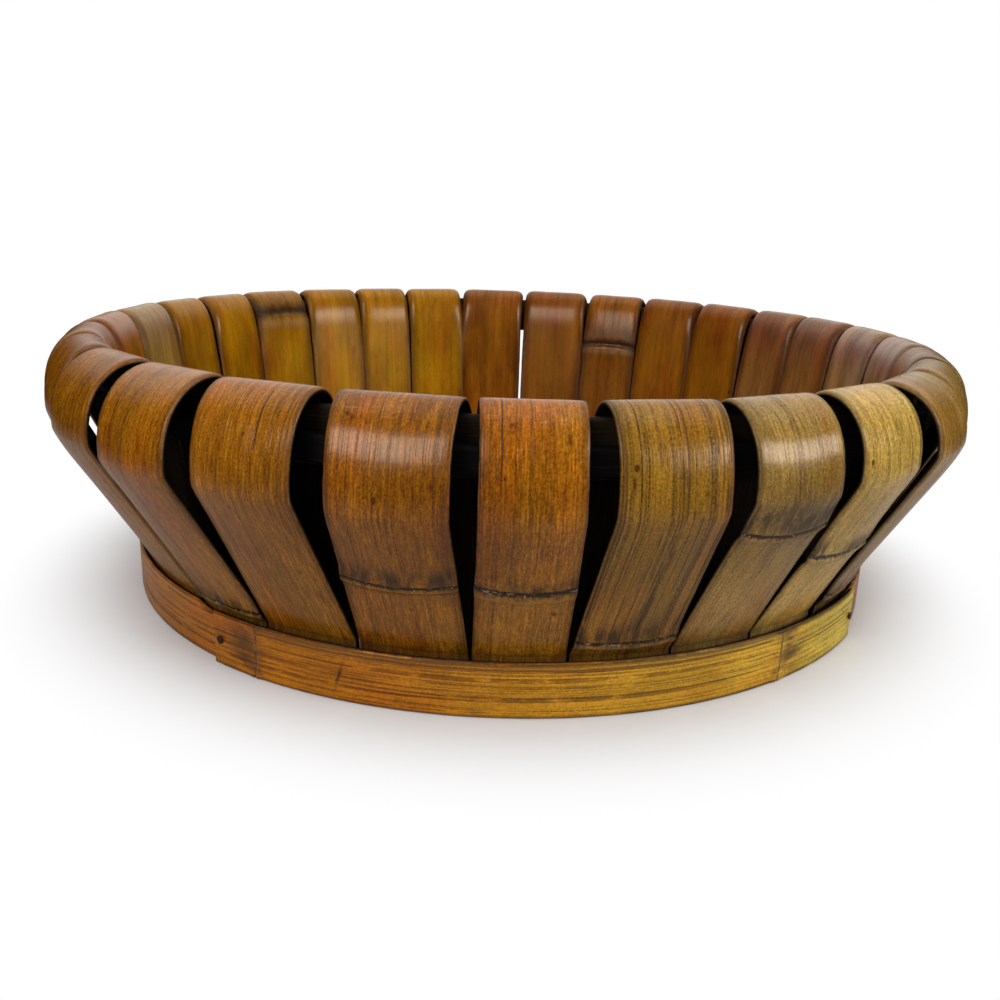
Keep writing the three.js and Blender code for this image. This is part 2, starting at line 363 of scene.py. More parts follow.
class SlatSettings(bpy.types.PropertyGroup):
    """Bend, section and growth marks of a folded slat."""

    thickness: length_property("Thickness", 0.0012, "Thickness of a split")
    overhang: length_property("Rim overhang", 0.0262, "How far the fold stands out past the outer ends")
    fold_width: length_property("Fold width", 0.02, "Width of the fold over the rim hoops")
    fold_inner_reach: length_property("Inner reach", 0.007, "How far the crest lies from the inner wall")
    fold_inner_drop: length_property("Inner drop", 0.016, "Where the fold starts below the crest, inside")
    fold_outer_drop: length_property("Outer drop", 0.026, "Where the fold ends below the crest, outside")
    left_lift: length_property("Left lift", 0.007, "How much higher the fold ends at the left side")
    right_lift: length_property("Right lift", 0.01, "How much higher the fold ends at the right side")
    knee_drop: length_property("Knee drop", 0.002, "Height of the upright run under the fold")
    knee_reach: length_property("Knee reach", 0.009, "Length of the bend under the upright run")
    inner_heel_reach: length_property("Inner heel", 0.004, "Length of the bend at the board's top")
    heel_lift: length_property("Heel lift", 0.0003, "Height of the outer heel over the foot band")
    heel_rise: length_property("Heel rise", 0.0006, "Height of the outer heel's bend")
    heel_reach: length_property("Heel reach", 0.00045, "How far the outer heel's bend stands out")
    heel_blend: length_property("Heel blend", 0.012, "Height over which the leg takes on the band's round")
    leg_crown: length_property("Leg crown", 0.0018, "Round of the culm that is left in the outer leg")
    edge_round: length_property("Edge round", 0.0005, "Round of the split edges")
    wave: length_property("Wave", 0.00035, "Unevenness of the skin along a slat")
    edge_wobble: length_property("Edge wobble", 0.0003, "Unevenness of the split edges")
    back_flare: length_property("Back flare", 0.0009, "How much wider a back slat is at the rim, a side")
    front_droop: length_property("Front edge droop", 0.00015, "How far the front slats' edges turn in")
    back_droop: length_property("Back edge droop", 0.0028, "How far the back slats' edges turn in")
    node_swell: length_property("Node swell", 0.0006, "How far a culm node stands out")
    node_groove: length_property("Node groove", 0.00055, "Depth of the sheath scar at a node")
    node_bow: length_property("Node bow", 0.0011, "How far the scar hangs in the middle of a slat")
    steps_along: count_property("Steps along", 360, "Rings along a slat")
    steps_round: count_property("Steps round", 33, "Points round a slat")
    tones: StringProperty(
        name="Tones",
        description="The first letter of each slat's colour of skin, from the front slat to the right",
        default="AODSDDOTTMMRRRRRGGGGGGDAARAAAR",
    )


class FootSettings(bpy.types.PropertyGroup):
    """Foot bands, base board and tacks."""

    edge_round: length_property("Edge round", 0.0006, "Round of a band's edges")
    wave: length_property("Wave", 0.0002, "Unevenness of a band's skin")
    edge_wobble: length_property("Edge wobble", 0.00012, "Unevenness of a band's edges")
    lap: length_property("Lap", 0.03, "Length of the back band's ends that lie under the front band")
    lap_drop: length_property("Lap drop", 0.0016, "How far those ends lie below the front band's top")
    crack_offset: length_property("Crack offset", 0.0058, "Height of the long crack over the band's middle")
    slit_turn: turn_property("Slit turn", math.radians(-18.2), "Turn of the slit in the front band")
    slit_offset: length_property("Slit offset", -0.0004, "Height of the slit over the band's middle")
    slit_width: length_property("Slit width", 0.0005, "Half width of the slit in the front band")
    node_smudge: length_property("Node smudge", 0.006, "How far a smudge reaches from a band's node")
    left_node: turn_property("Left node", math.radians(-30), "Turn of the front band's left node")
    right_node: turn_property("Right node", math.radians(37), "Turn of the front band's right node")
    board_ease: length_property("Board ease", 0.0012, "Round of the board's edges")
    board_facets: count_property("Board facets", 192, "Sides of the round board")
    tack_dome: length_property("Tack dome", 0.0003, "How far a tack's head is domed")
    tack_facets: count_property("Tack facets", 32, "Sides of a tack")


class RimSettings(bpy.types.PropertyGroup):
    """The two hoops inside the fold."""

    edge_round: length_property("Edge round", 0.0009, "Round of a hoop's edges")
    wave: length_property("Wave", 0.0003, "Unevenness of a hoop's faces")
    joint_turn: turn_property("Joint turn", math.pi, "Turn of the closed hoop's joint")
    joint_gap: length_property("Joint gap", 0.0003, "Opening of the closed hoop's joint")


class FinishSettings(bpy.types.PropertyGroup):
    """Colours and gloss of the bamboo, the stained hoops and the board."""

    amber: colour_property("Amber", (0.35, 0.12, 0.004), "Warm brown skin")
    russet: colour_property("Russet", (0.3, 0.098, 0.0032), "Red brown skin")
    olive: colour_property("Olive", (0.32, 0.153, 0.014), "Greenish brown skin")
    drab: colour_property("Drab", (0.38, 0.22, 0.045), "Grey brown skin")
    straw: colour_property("Straw", (0.57, 0.36, 0.07), "Pale skin")
    gold: colour_property("Gold", (0.43, 0.185, 0.0013), "Yellow brown skin")
    mauve: colour_property("Mauve", (0.3, 0.122, 0.03), "Dull brown skin at the right end")
    # Paler, greyer skin of slats 8 and 9 at the right end: part of its paleness is a painted haze, the
    # reflection these slats show
    taupe: colour_property("Taupe", (0.4, 0.24, 0.1), "Dusty skin at the right end")
    band_left: colour_property("Band at the left", (0.59, 0.19, 0.003), "Skin of the bands' left ends")
    band_right: colour_property("Band at the right", (1.0, 0.75, 0.07), "Skin of the front band's end")
    band_back: colour_property("Band behind", (0.56, 0.23, 0.012), "Skin of the back band's right end")
    pith: colour_property("Pith", (0.012, 0.008, 0.005), "Stained inner side of a split")
    pith_fibre: colour_property("Pith fibre", (0.03, 0.018, 0.01), "Paler fibres of the inner side")
    scar: colour_property("Scar", (0.013, 0.008, 0.005), "Dark sheath scars and flecks")
    spot: colour_property("Spot", (0.07, 0.014, 0.006), "Red brown spots and cracks")
    bruise: colour_property("Bruise", (0.1, 0.04, 0.012), "Brown scars and smudges of the foot bands")
    # Pale colour for the wear of the node lips, and for the edges' pale line, which is wear and a painted
    # highlight
    worn_and_highlight: colour_property("Worn", (0.38, 0.24, 0.11), "Worn edges and lips")
    dust: colour_property("Dust", (0.45, 0.33, 0.22), "Scuffs and crumbs")
    stain: colour_property("Stain", (0.02, 0.013, 0.008), "Stained inner hoop")
    # The outer hoop's colour: the same stain painted darker, as painted shade for the deeper place it lies
    # in
    char: colour_property("Char", (0.006, 0.005, 0.0045), "Nearly black outer hoop")
    board: colour_property("Board", (0.11, 0.052, 0.022), "Stained board")
    board_grain: colour_property("Board grain", (0.21, 0.105, 0.045), "Paler grain of the board")
    steel: colour_property("Steel", (0.09, 0.08, 0.07), "Darkened tacks")
    rust: colour_property("Rust", (0.06, 0.026, 0.012), "Rust on the tacks")
    varnish: colour_property("Varnish", (1.0, 0.82, 0.66), "Tint of the varnish in a sheen")
    gloss: share_property("Gloss", 0.19, "Roughness of the varnished skin")


class StageSettings(bpy.types.PropertyGroup):
    """Floor, light and camera."""

    floor_size: length_property("Floor size", 12.0, "Side of the floor")
    paper: colour_property("Paper", (0.9, 0.9, 0.9), "Floor as the camera sees it")
    bounce: colour_property("Bounce", (0.5, 0.48, 0.46), "Floor as the tray is lit by it")
    fill: share_property("Fill", 0.11, "Light from the room in front")
    glow: share_property("Glow", 0.5, "Light from the backdrop behind")
    left_power: power_property("Left light", 3.9, "Soft light at the left")
    right_power: power_property("Right light", 3.7, "Soft light at the right")
    top_power: power_property("Top light", 8.6, "Soft light over the tray")
    camera_distance: length_property("Camera distance", 0.35956, "How far the camera stands in front")
    camera_height: length_property("Camera height", 0.1281, "Height of the camera over the floor")
    camera_tilt: turn_property("Tilt", 0.294, "How far the camera looks down")
    camera_roll: turn_property("Roll", 0.034, "How far the camera leans")
    camera_yaw: turn_property("Yaw", 0.002, "How far the camera turns left")
    lens: FloatProperty(name="Lens", description="Focal length", default=35.395, unit="CAMERA")


# Places that are read from the solids

SlatPlace = namedtuple("SlatPlace", "turn width inner outer outside crest low sway")
Ring = namedtuple("Ring", "inner outer low high start end")


def outward(turn):
    """Unit vector from the middle of the basket. Turns count from the front to the right."""
    return Vector((math.sin(turn), -math.cos(turn), 0.0))


def sideways(turn):
    return Vector((math.cos(turn), math.sin(turn), 0.0))


def node_points(name):
    return [vertex.co.copy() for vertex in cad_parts[name].data.vertices]


def mean_turn(points):
    return math.atan2(sum(p.x for p in points), -sum(p.y for p in points))


def slat_place(name, thickness):
    points = node_points(name)
    low = min(p.z for p in points)
    ends = [p for p in points if p.z < low + thickness]
    turn = mean_turn(ends)
    radii = [p.xy.length for p in ends]
    crest = max(p.z for p in points)
    top = [p.dot(sideways(turn)) for p in points if p.z > crest - thickness / 2]
    lateral = [p.dot(sideways(turn)) for p in ends]
    return SlatPlace(
        turn=turn,
        width=max(lateral) - min(lateral),
        inner=min(radii) + thickness / 2,
        outer=max(radii) - thickness / 2,
        outside=max(p.dot(outward(turn)) for p in points) - thickness / 2,
        crest=crest - thickness / 2,
        low=low,
        sway=(max(top) + min(top)) / 2,
    )


def ring_of(name):
    points = node_points(name)
    radii = [p.xy.length for p in points]
    heights = [p.z for p in points]
    middle = mean_turn(points)
    offsets = [math.atan2(p.dot(sideways(middle)), p.dot(outward(middle))) for p in points]
    return Ring(
        inner=min(radii),
        outer=max(radii),
        low=min(heights),
        high=max(heights),
        start=middle + min(offsets),
        end=middle + max(offsets),
    )


# Paths

PARABOLA = 1.0
ELLIPSE = math.sqrt(0.5)
CORNER_STEPS = 24
RING_STEP = math.radians(1.0)
LEAST_RING_STEPS = 24
HEEL_SHARE = 0.9
Corner = namedtuple("Corner", "at before after pull", defaults=(PARABOLA,))


def rounded_line(corners):
    """Points through corners, each rounded by a curve that takes up its reach before and after."""
    points = [corners[0].at]
    for previous, corner, following in zip(corners, corners[1:], corners[2:]):
        start = corner.at + (previous.at - corner.at).normalized() * corner.before
        end = corner.at + (following.at - corner.at).normalized() * corner.after
        for step in range(CORNER_STEPS + 1):
            share = step / CORNER_STEPS
            first, last = (1 - share) ** 2, share**2
            middle = 2 * share * (1 - share) * corner.pull
            points.append((start * first + corner.at * middle + end * last) / (first + middle + last))
    points.append(corners[-1].at)
    return points


def fold_drop(place, slat):
    """How far the fold reaches down outside. It ends higher at the sides of the basket than in front."""
    lift = slat.right_lift if place.turn > 0 else slat.left_lift
    return slat.fold_outer_drop - lift * abs(math.sin(place.turn))


def heel_height(slat):
    return BAND_TOP + slat.heel_lift


def knee_height(place, slat):
    return place.crest - fold_drop(place, slat) - slat.knee_drop


def slat_bend(place, slat):
    """The bend of a slat from its inner end over the rim to its outer end: x is a radius, y a height."""
    heel = heel_height(slat)
    rise = slat.heel_rise
    inside = place.outer + slat.overhang - slat.fold_width
    outer_reach = place.outside - inside - slat.fold_inner_reach
    corners = [
        Corner(Vector((place.inner, place.low)), 0, 0),
        Corner(Vector((place.inner, BOARD_TOP)), slat.inner_heel_reach / 2, slat.inner_heel_reach),
        Corner(Vector((inside, place.crest)), slat.fold_inner_drop, slat.fold_inner_reach),
        Corner(Vector((place.outside, place.crest)), outer_reach, fold_drop(place, slat), ELLIPSE),
        Corner(Vector((place.outside, knee_height(place, slat))), slat.knee_drop, slat.knee_reach),
        Corner(Vector((place.outer + slat.heel_reach, heel + rise)), rise, rise / 2),
        Corner(Vector((place.outer, heel)), rise / 2, slat.heel_lift * HEEL_SHARE),
        Corner(Vector((place.outer, place.low)), 0, 0),
    ]
    return rounded_line(corners)


def crest_index(bend):
    return max(range(len(bend)), key=lambda index: bend[index].y)


def smooth_share(value, low, high):
    share = min(max((value - low) / (high - low), 0.0), 1.0)
    return share * share * (3 - 2 * share)


def crown_along(bend, place, slat):
    """How far the middle of a slat stands out from its edges at each point of its bend."""
    heel = heel_height(slat)
    knee = knee_height(place, slat)
    round_foot = place.width**2 / (8 * place.outer)
    crest_at = crest_index(bend)
    crowns = []
    for index, point in enumerate(bend):
        if index < crest_at:
            flat = smooth_share(point.y, BOARD_TOP, place.crest - slat.fold_inner_drop)
            crowns.append(-round_foot * (1 - flat))
            continue
        leg = smooth_share(point.y, heel, heel + slat.heel_blend)
        flat = smooth_share(point.y, knee - slat.knee_reach, place.crest)
        crowns.append((round_foot + (slat.leg_crown - round_foot) * leg) * (1 - flat))
    return crowns


def distances_along(points):
    distances = [0.0]
    for first, second in zip(points, points[1:]):
        distances.append(distances[-1] + (second - first).length)
    return distances


def distance_at_height(bend, height, outside):
    """Distance along a bend to the point at a height, on its outer or its inner leg."""
    distances = distances_along(bend)
    crest_at = crest_index(bend)
    height = min(height, bend[crest_at].y)
    for index in range(crest_at, len(bend) - 1) if outside else range(crest_at):
        here, there = bend[index].y, bend[index + 1].y
        if here != there and min(here, there) <= height <= max(here, there):
            share = (height - here) / (there - here)
            return distances[index] + share * (distances[index + 1] - distances[index])
    raise ValueError(f"the bend has no point at {height}")


def ring_path(ring, start, end):
    radius = (ring.inner + ring.outer) / 2
    height = (ring.low + ring.high) / 2
    count = max(LEAST_RING_STEPS, int(abs(end - start) / RING_STEP))
    turns = [start + (end - start) * index / count for index in range(count + 1)]
    return [outward(turn) * radius + Vector((0, 0, height)) for turn in turns]


# Split strip: a flat ring drawn along a path, with rounded edges, growth marks and closed ends

STRIP_INPUTS = {
    "NodeSocketGeometry": ("Path",),
    "NodeSocketVector": ("Across", "Crack", *SPOT_NAMES),
    "NodeSocketFloat": (
        "Width",
        "Flare",
        "Thickness",
        "Edge Round",
        "Wave",
        "Edge Wobble",
        "Edge Droop",
        "Node One",
        "Node Two",
        "Node Swell",
        "Node Groove",
        "Node Bow",
        "Node Size",
        "Soot",
        "Streaks",
        "Flecks",
        "Lap",
        "Lap Drop",
        "Fade",
        "Seed",
    ),
    "NodeSocketColor": ("Tone", "End Tone"),
    "NodeSocketInt": ("Steps Along", "Steps Round"),
    "NodeSocketMaterial": ("Skin", "Pith"),
}
PLAIN_STRIP = {
    **dict.fromkeys(("Flare", "Edge Droop", "Lap", "Lap Drop", "Streaks", "Flecks"), 0.0),
    **dict.fromkeys(("Node Swell", "Node Groove", "Node Bow"), 0.0),
    **dict.fromkeys(("Node One", "Node Two"), NO_NODE),
    **dict.fromkeys(SPOT_NAMES, NO_SPOT),
    "Node Size": 1.0,
    "Soot": HIDDEN_NODE_SOOT,
    "Crack": NO_CRACK,
    "Fade": 1.0,
}

# Unevenness of a strip: waves a metre along it, waves over half its width, step between seeds, and detail
Ripple = namedtuple("Ripple", "along across seed detail")
RAGGED_SCAR = Ripple(0.0, 4.0, 7.3, 3.0)
ROLLING = Ripple(22.0, 0.5, 3.1, 2.0)
TILTING = Ripple(14.0, 0.0, 5.7, 1.0)
FRAYED = Ripple(90.0, 3.0, 2.3, 3.0)
TILT_PLACE = 4.0

END_ROUND = 0.0008
MERGE_DISTANCE = 0.00001
SKIN_SIDE = (-0.05, 0.2)
SWELL_REACH = 0.0036
LIP_PLACE = 0.0012
LIP_REACH = 0.0009
LIP_SHARE = 0.5
GROOVE_REACH = 0.00045
KINK_REACH = 0.0026
KINK_SHARE = 0.5
CREST_SHARE = 0.46
CREST_REACH = 0.1
DROOP_POWER = 14.0
FRAY_POWER = 4.0
LAP_EASE = 1.3


def split_strip_tree():
    known = bpy.data.node_groups.get("split_strip")
    if known:
        return known
    tree = bpy.data.node_groups.new("split_strip", "GeometryNodeTree")
    for kind, names in STRIP_INPUTS.items():
        for name in names:
            tree.interface.new_socket(name, in_out="INPUT", socket_type=kind)
    tree.interface.new_socket("Strip", in_out="OUTPUT", socket_type="NodeSocketGeometry")
    graph = Graph(tree)
    given = graph.node("NodeGroupInput")
    width, seed = given.of("Width"), given.of("Seed")

    def ripple(x, y, z, detail):
        return graph.noise(graph.vector(x, y, z), detail) - 0.5

    path = graph.node("GeometryNodeMeshToCurve", {"Mesh": given.of("Path")})
    length = graph.node("GeometryNodeCurveLength", {"Curve": path})
    counts = {"Vertices X": given.of("Steps Along"), "Vertices Y": given.of("Steps Round")}
    grid = graph.node("GeometryNodeMeshGrid", {"Size X": 1.0, "Size Y": 1.0, **counts})
    grid_x, grid_y, _ = graph.node("GeometryNodeInputPosition").split()
    share = grid_x + 0.5
    along = share * length
    turn = grid_y * (2 * math.pi) + math.pi / 2
    side, face = turn.sine(), turn.cosine()

    crown = graph.node("GeometryNodeInputNamedAttribute", {"Name": "crown"}, data_type="FLOAT")
    sockets = {"Curves": path, "Value": crown, "Factor": share}
    sample = graph.node("GeometryNodeSampleCurve", sockets, mode="FACTOR", data_type="FLOAT")
    forward = sample.of("Tangent")
    across = given.of("Across")
    skinward = forward.worked("CROSS_PRODUCT", across).worked("NORMALIZE")

    bowed = along - given.of("Node Bow") * (1 - side * side)
    ragged = ripple(side * RAGGED_SCAR.across, seed * RAGGED_SCAR.seed, 0.0, RAGGED_SCAR.detail)
    bowed = bowed - ragged * given.of("Node Bow")
    near_one = bowed - given.of("Node One")
    near_two = given.of("Node Two") - bowed
    near = near_two + (abs(near_one) < abs(near_two)) * (near_one - near_two)
    bold = near / given.of("Node Size")

    edge_share = (given.of("Edge Round") / width * 2.0 * 2.0).root()
    rounding = (abs(face) / edge_share).least(1.0)
    depth = face.sign() * given.of("Thickness") * 0.5 * (1 - (1 - rounding) ** 2.0).root()
    to_end = (along.least(length - along) / END_ROUND).least(1.0)
    depth = depth * (1 - (1 - to_end) ** 2.0).root()

    hold = (share * math.pi).sine()
    rolling = ripple(along * ROLLING.along, side * ROLLING.across, seed * ROLLING.seed, ROLLING.detail)
    tilting = ripple(along * TILTING.along, seed * TILTING.seed, TILT_PLACE, TILTING.detail)
    wave = given.of("Wave") * hold * 2.0 * (rolling + tilting * side)
    lip = LIP_SHARE * (bold - LIP_PLACE).hump(LIP_REACH)
    swell = given.of("Node Swell") * (bold.hump(SWELL_REACH) + lip)
    groove = given.of("Node Groove") * bold.hump(GROOVE_REACH) * face.step(*SKIN_SIDE)
    droop = given.of("Edge Droop") * (share - CREST_SHARE).hump(CREST_REACH) * side**DROOP_POWER
    out = depth - sample * side * side - droop + wave + swell - groove

    frayed = ripple(along * FRAYED.along, side * FRAYED.across, seed * FRAYED.seed, FRAYED.detail)
    kink = bold.hump(KINK_REACH) * given.of("Edge Wobble") * KINK_SHARE
    half = width * 0.5 + given.of("Flare") * hold + kink
    lateral = side * half + frayed * given.of("Edge Wobble") * side**FRAY_POWER * hold * 2.0
    lapped = along.least(length - along).step(given.of("Lap") * LAP_EASE, given.of("Lap"))
    lateral = lateral - (side * 0.5 + 0.5) * lapped * given.of("Lap Drop")
    place = sample.of("Position") + across * lateral + skinward * out

    strip = grid
    tone = graph.mixed(share ** given.of("Fade"), given.of("Tone"), given.of("End Tone"))
    marks = {
        "strip": ("FLOAT_VECTOR", graph.vector(lateral, along, seed)),
        "face": ("FLOAT_VECTOR", graph.vector(side, face, share)),
        "node": ("FLOAT_VECTOR", graph.vector(bold, near, given.of("Soot"))),
        "streaks": ("FLOAT", given.of("Streaks")),
        "flecks": ("FLOAT", given.of("Flecks")),
        "crack": ("FLOAT_VECTOR", given.of("Crack")),
        "tone": ("FLOAT_COLOR", tone),
    }
    for name in SPOT_NAMES:
        marks[name] = ("FLOAT_VECTOR", given.of(name))
    for name, (kind, value) in marks.items():
        sockets = {"Geometry": strip, "Name": name, "Value": value}
        strip = graph.node("GeometryNodeStoreNamedAttribute", sockets, data_type=kind, domain="POINT")
    strip = graph.node("GeometryNodeSetPosition", {"Geometry": strip, "Position": place})
    strip = graph.node("GeometryNodeMergeByDistance", {"Geometry": strip, "Distance": MERGE_DISTANCE})
    strip = graph.node("GeometryNodeSetShadeSmooth", {"Geometry": strip})
    strip = graph.node("GeometryNodeRealizeInstances", {"Geometry": strip})
    strip = graph.node("GeometryNodeSetMaterial", {"Geometry": strip, "Material": given.of("Skin")})
    facing = graph.node("GeometryNodeInputNamedAttribute", {"Name": "face"}, data_type="FLOAT_VECTOR")
    sockets = {"Geometry": strip, "Selection": facing.split()[1] < 0.0, "Material": given.of("Pith")}
    strip = graph.node("GeometryNodeSetMaterial", sockets)
    graph.node("NodeGroupOutput", {"Strip": strip})
    return tree


def linked(name, data):
    made = bpy.data.objects.new(name, data)
    bpy.context.scene.collection.objects.link(made)
    return made


def strip_piece(name, points, values, crowns=None):
    """A split strip along a path, as a plain mesh. What the values leave out is as on a plain strip."""
    values = {**PLAIN_STRIP, **values}
    mesh = bpy.data.meshes.new(name)
    mesh.from_pydata(points, [(index, index + 1) for index in range(len(points) - 1)], [])
    crown = mesh.attributes.new("crown", "FLOAT", "POINT")
    crown.data.foreach_set("value", crowns or [0.0] * len(points))
    piece = linked(name, mesh)
    modifier = piece.modifiers.new("split_strip", "NODES")
    modifier.node_group = split_strip_tree()
    for item in modifier.node_group.interface.items_tree:
        if item.in_out == "INPUT" and item.name in values:
            modifier[item.identifier] = values[item.name]
    depsgraph = bpy.context.evaluated_depsgraph_get()
    made = bpy.data.meshes.new_from_object(
        piece.evaluated_get(depsgraph), preserve_all_data_layers=True, depsgraph=depsgraph
    )
    if not made.polygons:
        raise RuntimeError(f"{name} has no faces")
    piece.modifiers.remove(modifier)
    piece.data = made
    made.name = name
    bpy.data.meshes.remove(mesh)
    return piece


def seat(piece, node):
    """The piece stands for a solid and moves with the basket."""
    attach(piece, BODY)
    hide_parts(node)


# Finishes

def new_finish(name):
    material = bpy.data.materials.new(name)
    material.use_nodes = True
    material.node_tree.nodes.clear()
    return material, Graph(material.node_tree)


def set_surface(graph, sockets):
    shader = graph.node("ShaderNodeBsdfPrincipled", sockets)
    graph.node("ShaderNodeOutputMaterial", {"Surface": shader})


def raised(graph, height, depth):
    return graph.node("ShaderNodeBump", {"Height": height, "Strength": 1.0, "Distance": depth})


MM = 1000.0
SEED_SPREAD = 9.7

# Grains of the skin: waves a millimetre across and along a strip, place in the noise, the values between
# which the grain fades in, if it does, and the noise's detail and roughness
Grain = namedtuple("Grain", "across along place fade detail roughness", defaults=(None, 2.0, 0.5))
GRAINS = {
    "fibre": Grain(2.6, 0.005, 0.0, (0.46, 0.66), 1.0),
    "broken": Grain(0.7, 0.06, 27.1, (0.35, 0.6)),
    "band": Grain(0.7, 0.006, 3.3, (0.3, 0.7)),
    "thread": Grain(1.3, 0.007, 18.9, (0.56, 0.63), 1.0),
    "dash": Grain(2.3, 0.2, 12.4, None, 1.0),
    "mottle": Grain(2.1, 1.5, 24.7, (0.32, 0.68), 3.0, 0.65),
    "patch": Grain(0.09, 0.03, 6.1, (0.25, 0.75), 3.0),
    "warm": Grain(0.06, 0.02, 8.7, (0.46, 0.66)),
    "cloud": Grain(0.1, 0.03, 36.2, None, 3.0, 0.6),
    "stain": Grain(0.3, 0.09, 15.2, None, 4.0, 0.7),
    "soot": Grain(0.2, 0.06, 31.0, (0.38, 0.6), 5.0, 0.7),
    "scuff": Grain(0.25, 1.5, 41.3, (0.58, 0.68), 3.0),
    "crumb": Grain(0.8, 1.5, 44.0, (0.58, 0.66)),
    "drift": Grain(0.0, 0.12, 21.0, None, 3.0),
}

# How strongly a mark tints the skin under it, and what it does to its red, green and blue
Tint = namedtuple("Tint", "strength colour")
TINTS = {
    "warm": Tint(0.7, (1.02, 0.78, 0.6)),
    "dark cloud": Tint(0.75, (0.62, 0.54, 0.5)),
    "pale cloud": Tint(0.7, (1.12, 1.26, 1.1)),
    "crest": Tint(0.7, (0.98, 0.86, 2.0)),
    # painted shade on the leg just under the fold
    "painted_shade": Tint(0.5, (0.6, 0.52, 0.35)),
    "line": Tint(0.85, (0.26, 0.2, 0.16)),
    "pale dash": Tint(1.0, (1.5, 1.6, 1.7)),
    "dark dash": Tint(0.7, (0.5, 0.42, 0.35)),
    "stain": Tint(0.5, (0.4, 0.32, 0.25)),
    # dirt and painted shade on the edges and just over the foot band
    "dirt_and_shade": Tint(0.8, (0.3, 0.25, 0.22)),
}

# Values of the stain grain between which a mark fades in
STAIN_FADES = {
    "line": (0.36, 0.52),
    "stain": (0.56, 0.74),
    "smudge": (0.45, 0.62),
    "lip": (0.3, 0.55),
    "scar": (0.32, 0.6),
    "dirt_and_shade": (0.2, 0.5),
    "worn_and_highlit": (0.48, 0.6),
}

# What sets a folded slat's marks apart from a band's: strengths, and widths in millimetres
Marks = namedtuple("Marks", "folded speckle spot_width spot_slant lip scar crack_width")
SLAT_MARKS = Marks(
    folded=True, speckle=0.6, spot_width=0.45, spot_slant=0.0, lip=0.5, scar=1.0, crack_width=0.2
)
BAND_MARKS = Marks(
    folded=False, speckle=0.35, spot_width=3.2, spot_slant=0.3, lip=0.15, scar=0.7, crack_width=0.35
)

# Shares of a slat's length, from its inner end
LEG_START = (0.4, 0.52)
HAZE_SHARE, HAZE_REACH = 0.43, 0.045
# Where the painted shade under the fold lies, and how far it reaches
PAINTED_SHADE_SHARE, PAINTED_SHADE_REACH = 0.69, 0.09
SCUFF_SHARE, SCUFF_REACH = 0.5, 0.05

WALL_CRISPNESS = 0.35
BROKEN_FIBRE = 0.35
BASE_SHADE, BAND_SHADE, FIBRE_SHADE, STREAK_SHADE = 0.86, 0.2, 0.2, 0.3
PATCH_LOW, PATCH_RANGE = 0.76, 0.42
DARK_CLOUD, PALE_CLOUD = (0.44, 0.68), (0.52, 0.3)
PALE_DASH, DARK_DASH = (0.54, 0.66), (0.43, 0.3)
SCUFF_STRENGTH, SPOT_STRENGTH, SOOT_STRENGTH, CRACK_STRENGTH = 0.16, 0.85, 0.85, 0.9
CRUMB_STRENGTH, WORN_HIGHLIT_STRENGTH = 0.6, 0.4

SPECK_ACROSS, SPECK_ALONG, SPECK_RARITY, SPECK_EDGE = 0.1, 0.07, 0.72, (0.075, 0.05)
SPOT_RAGGEDNESS = 1.5

# Lengths in millimetres from a node's scar, and what the inner wall changes
SOOT_RISE, WALL_SOOT = 0.7, 0.7
SMUDGE_PLACE, SMUDGE_REACH, SMUDGE_SHARE = 1.2, 1.6, 0.8
WORN_PLACE, WORN_REACH = 1.5, 0.5
SCAR_RAGGEDNESS, SCAR_PLACE, SCAR_OUTER, SCAR_INNER = 0.4, 0.1, 0.85, 0.35
WALL_SCAR_OUTER, WALL_SCAR_INNER, WALL_SCAR_FADE = 0.45, 0.3, 0.2

CRACK_DRIFT, CRACK_START, CRACK_END = 0.5, 1.0, 6.0
SECOND_CRACK_PLACE, SECOND_CRACK_WIDTH, SECOND_CRACK_SHARE = 1.1, 0.4, 0.7

SKIN_EDGE = (-0.02, 0.16)
# Dirt and painted shade on a slat's edges and just over the foot band
DIRT_AND_SHADE_RISE, DIRT_AND_SHADE_SHARE = 0.006, 0.12
EDGE_START, EDGE_END, WALL_EDGE, LOW_EDGE = 0.8, 0.98, 0.2, 0.3
EDGE_STRENGTH, WALL_PAINTED_SHADE = 0.75, 0.8
# Painted shadow and dirt in the last millimetre or so over the foot band
SHADOW_AND_DIRT_RISE, SHADOW_AND_DIRT_DEPTH, SHADOW_AND_DIRT_LOW, SHADOW_AND_DIRT_RANGE = 0.0012, 0.0008, 0.35, 0.3
# Where the edges' pale line of wear and painted highlight lies, across the strip
WORN_HIGHLIT_EDGE = (0.975, 0.988)

DULL_EDGE, DULL_EDGE_ROUGH = (0.88, 0.97), 0.35
DULL_NODE_REACH, DULL_NODE_SIDE, DULL_NODE_ROUGH = 3.0, (0.45, 0.8), 0.3
ROUGHNESS = {
    "fibre": 0.08,
    "line": 0.15,
    "smudge": 0.25,
    "dirt_and_shade": 0.2,
    "pith": 0.3,
    "wall": 0.05,
    "shadow_and_dirt_at_band": 0.4,
}
RELIEF = {"band": 0.2, "fibre": 0.25, "line": 0.4, "pale dash": 0.15, "crack": 0.15}
SKIN_RELIEF = 0.00008
SKIN_SPECULAR = 0.5


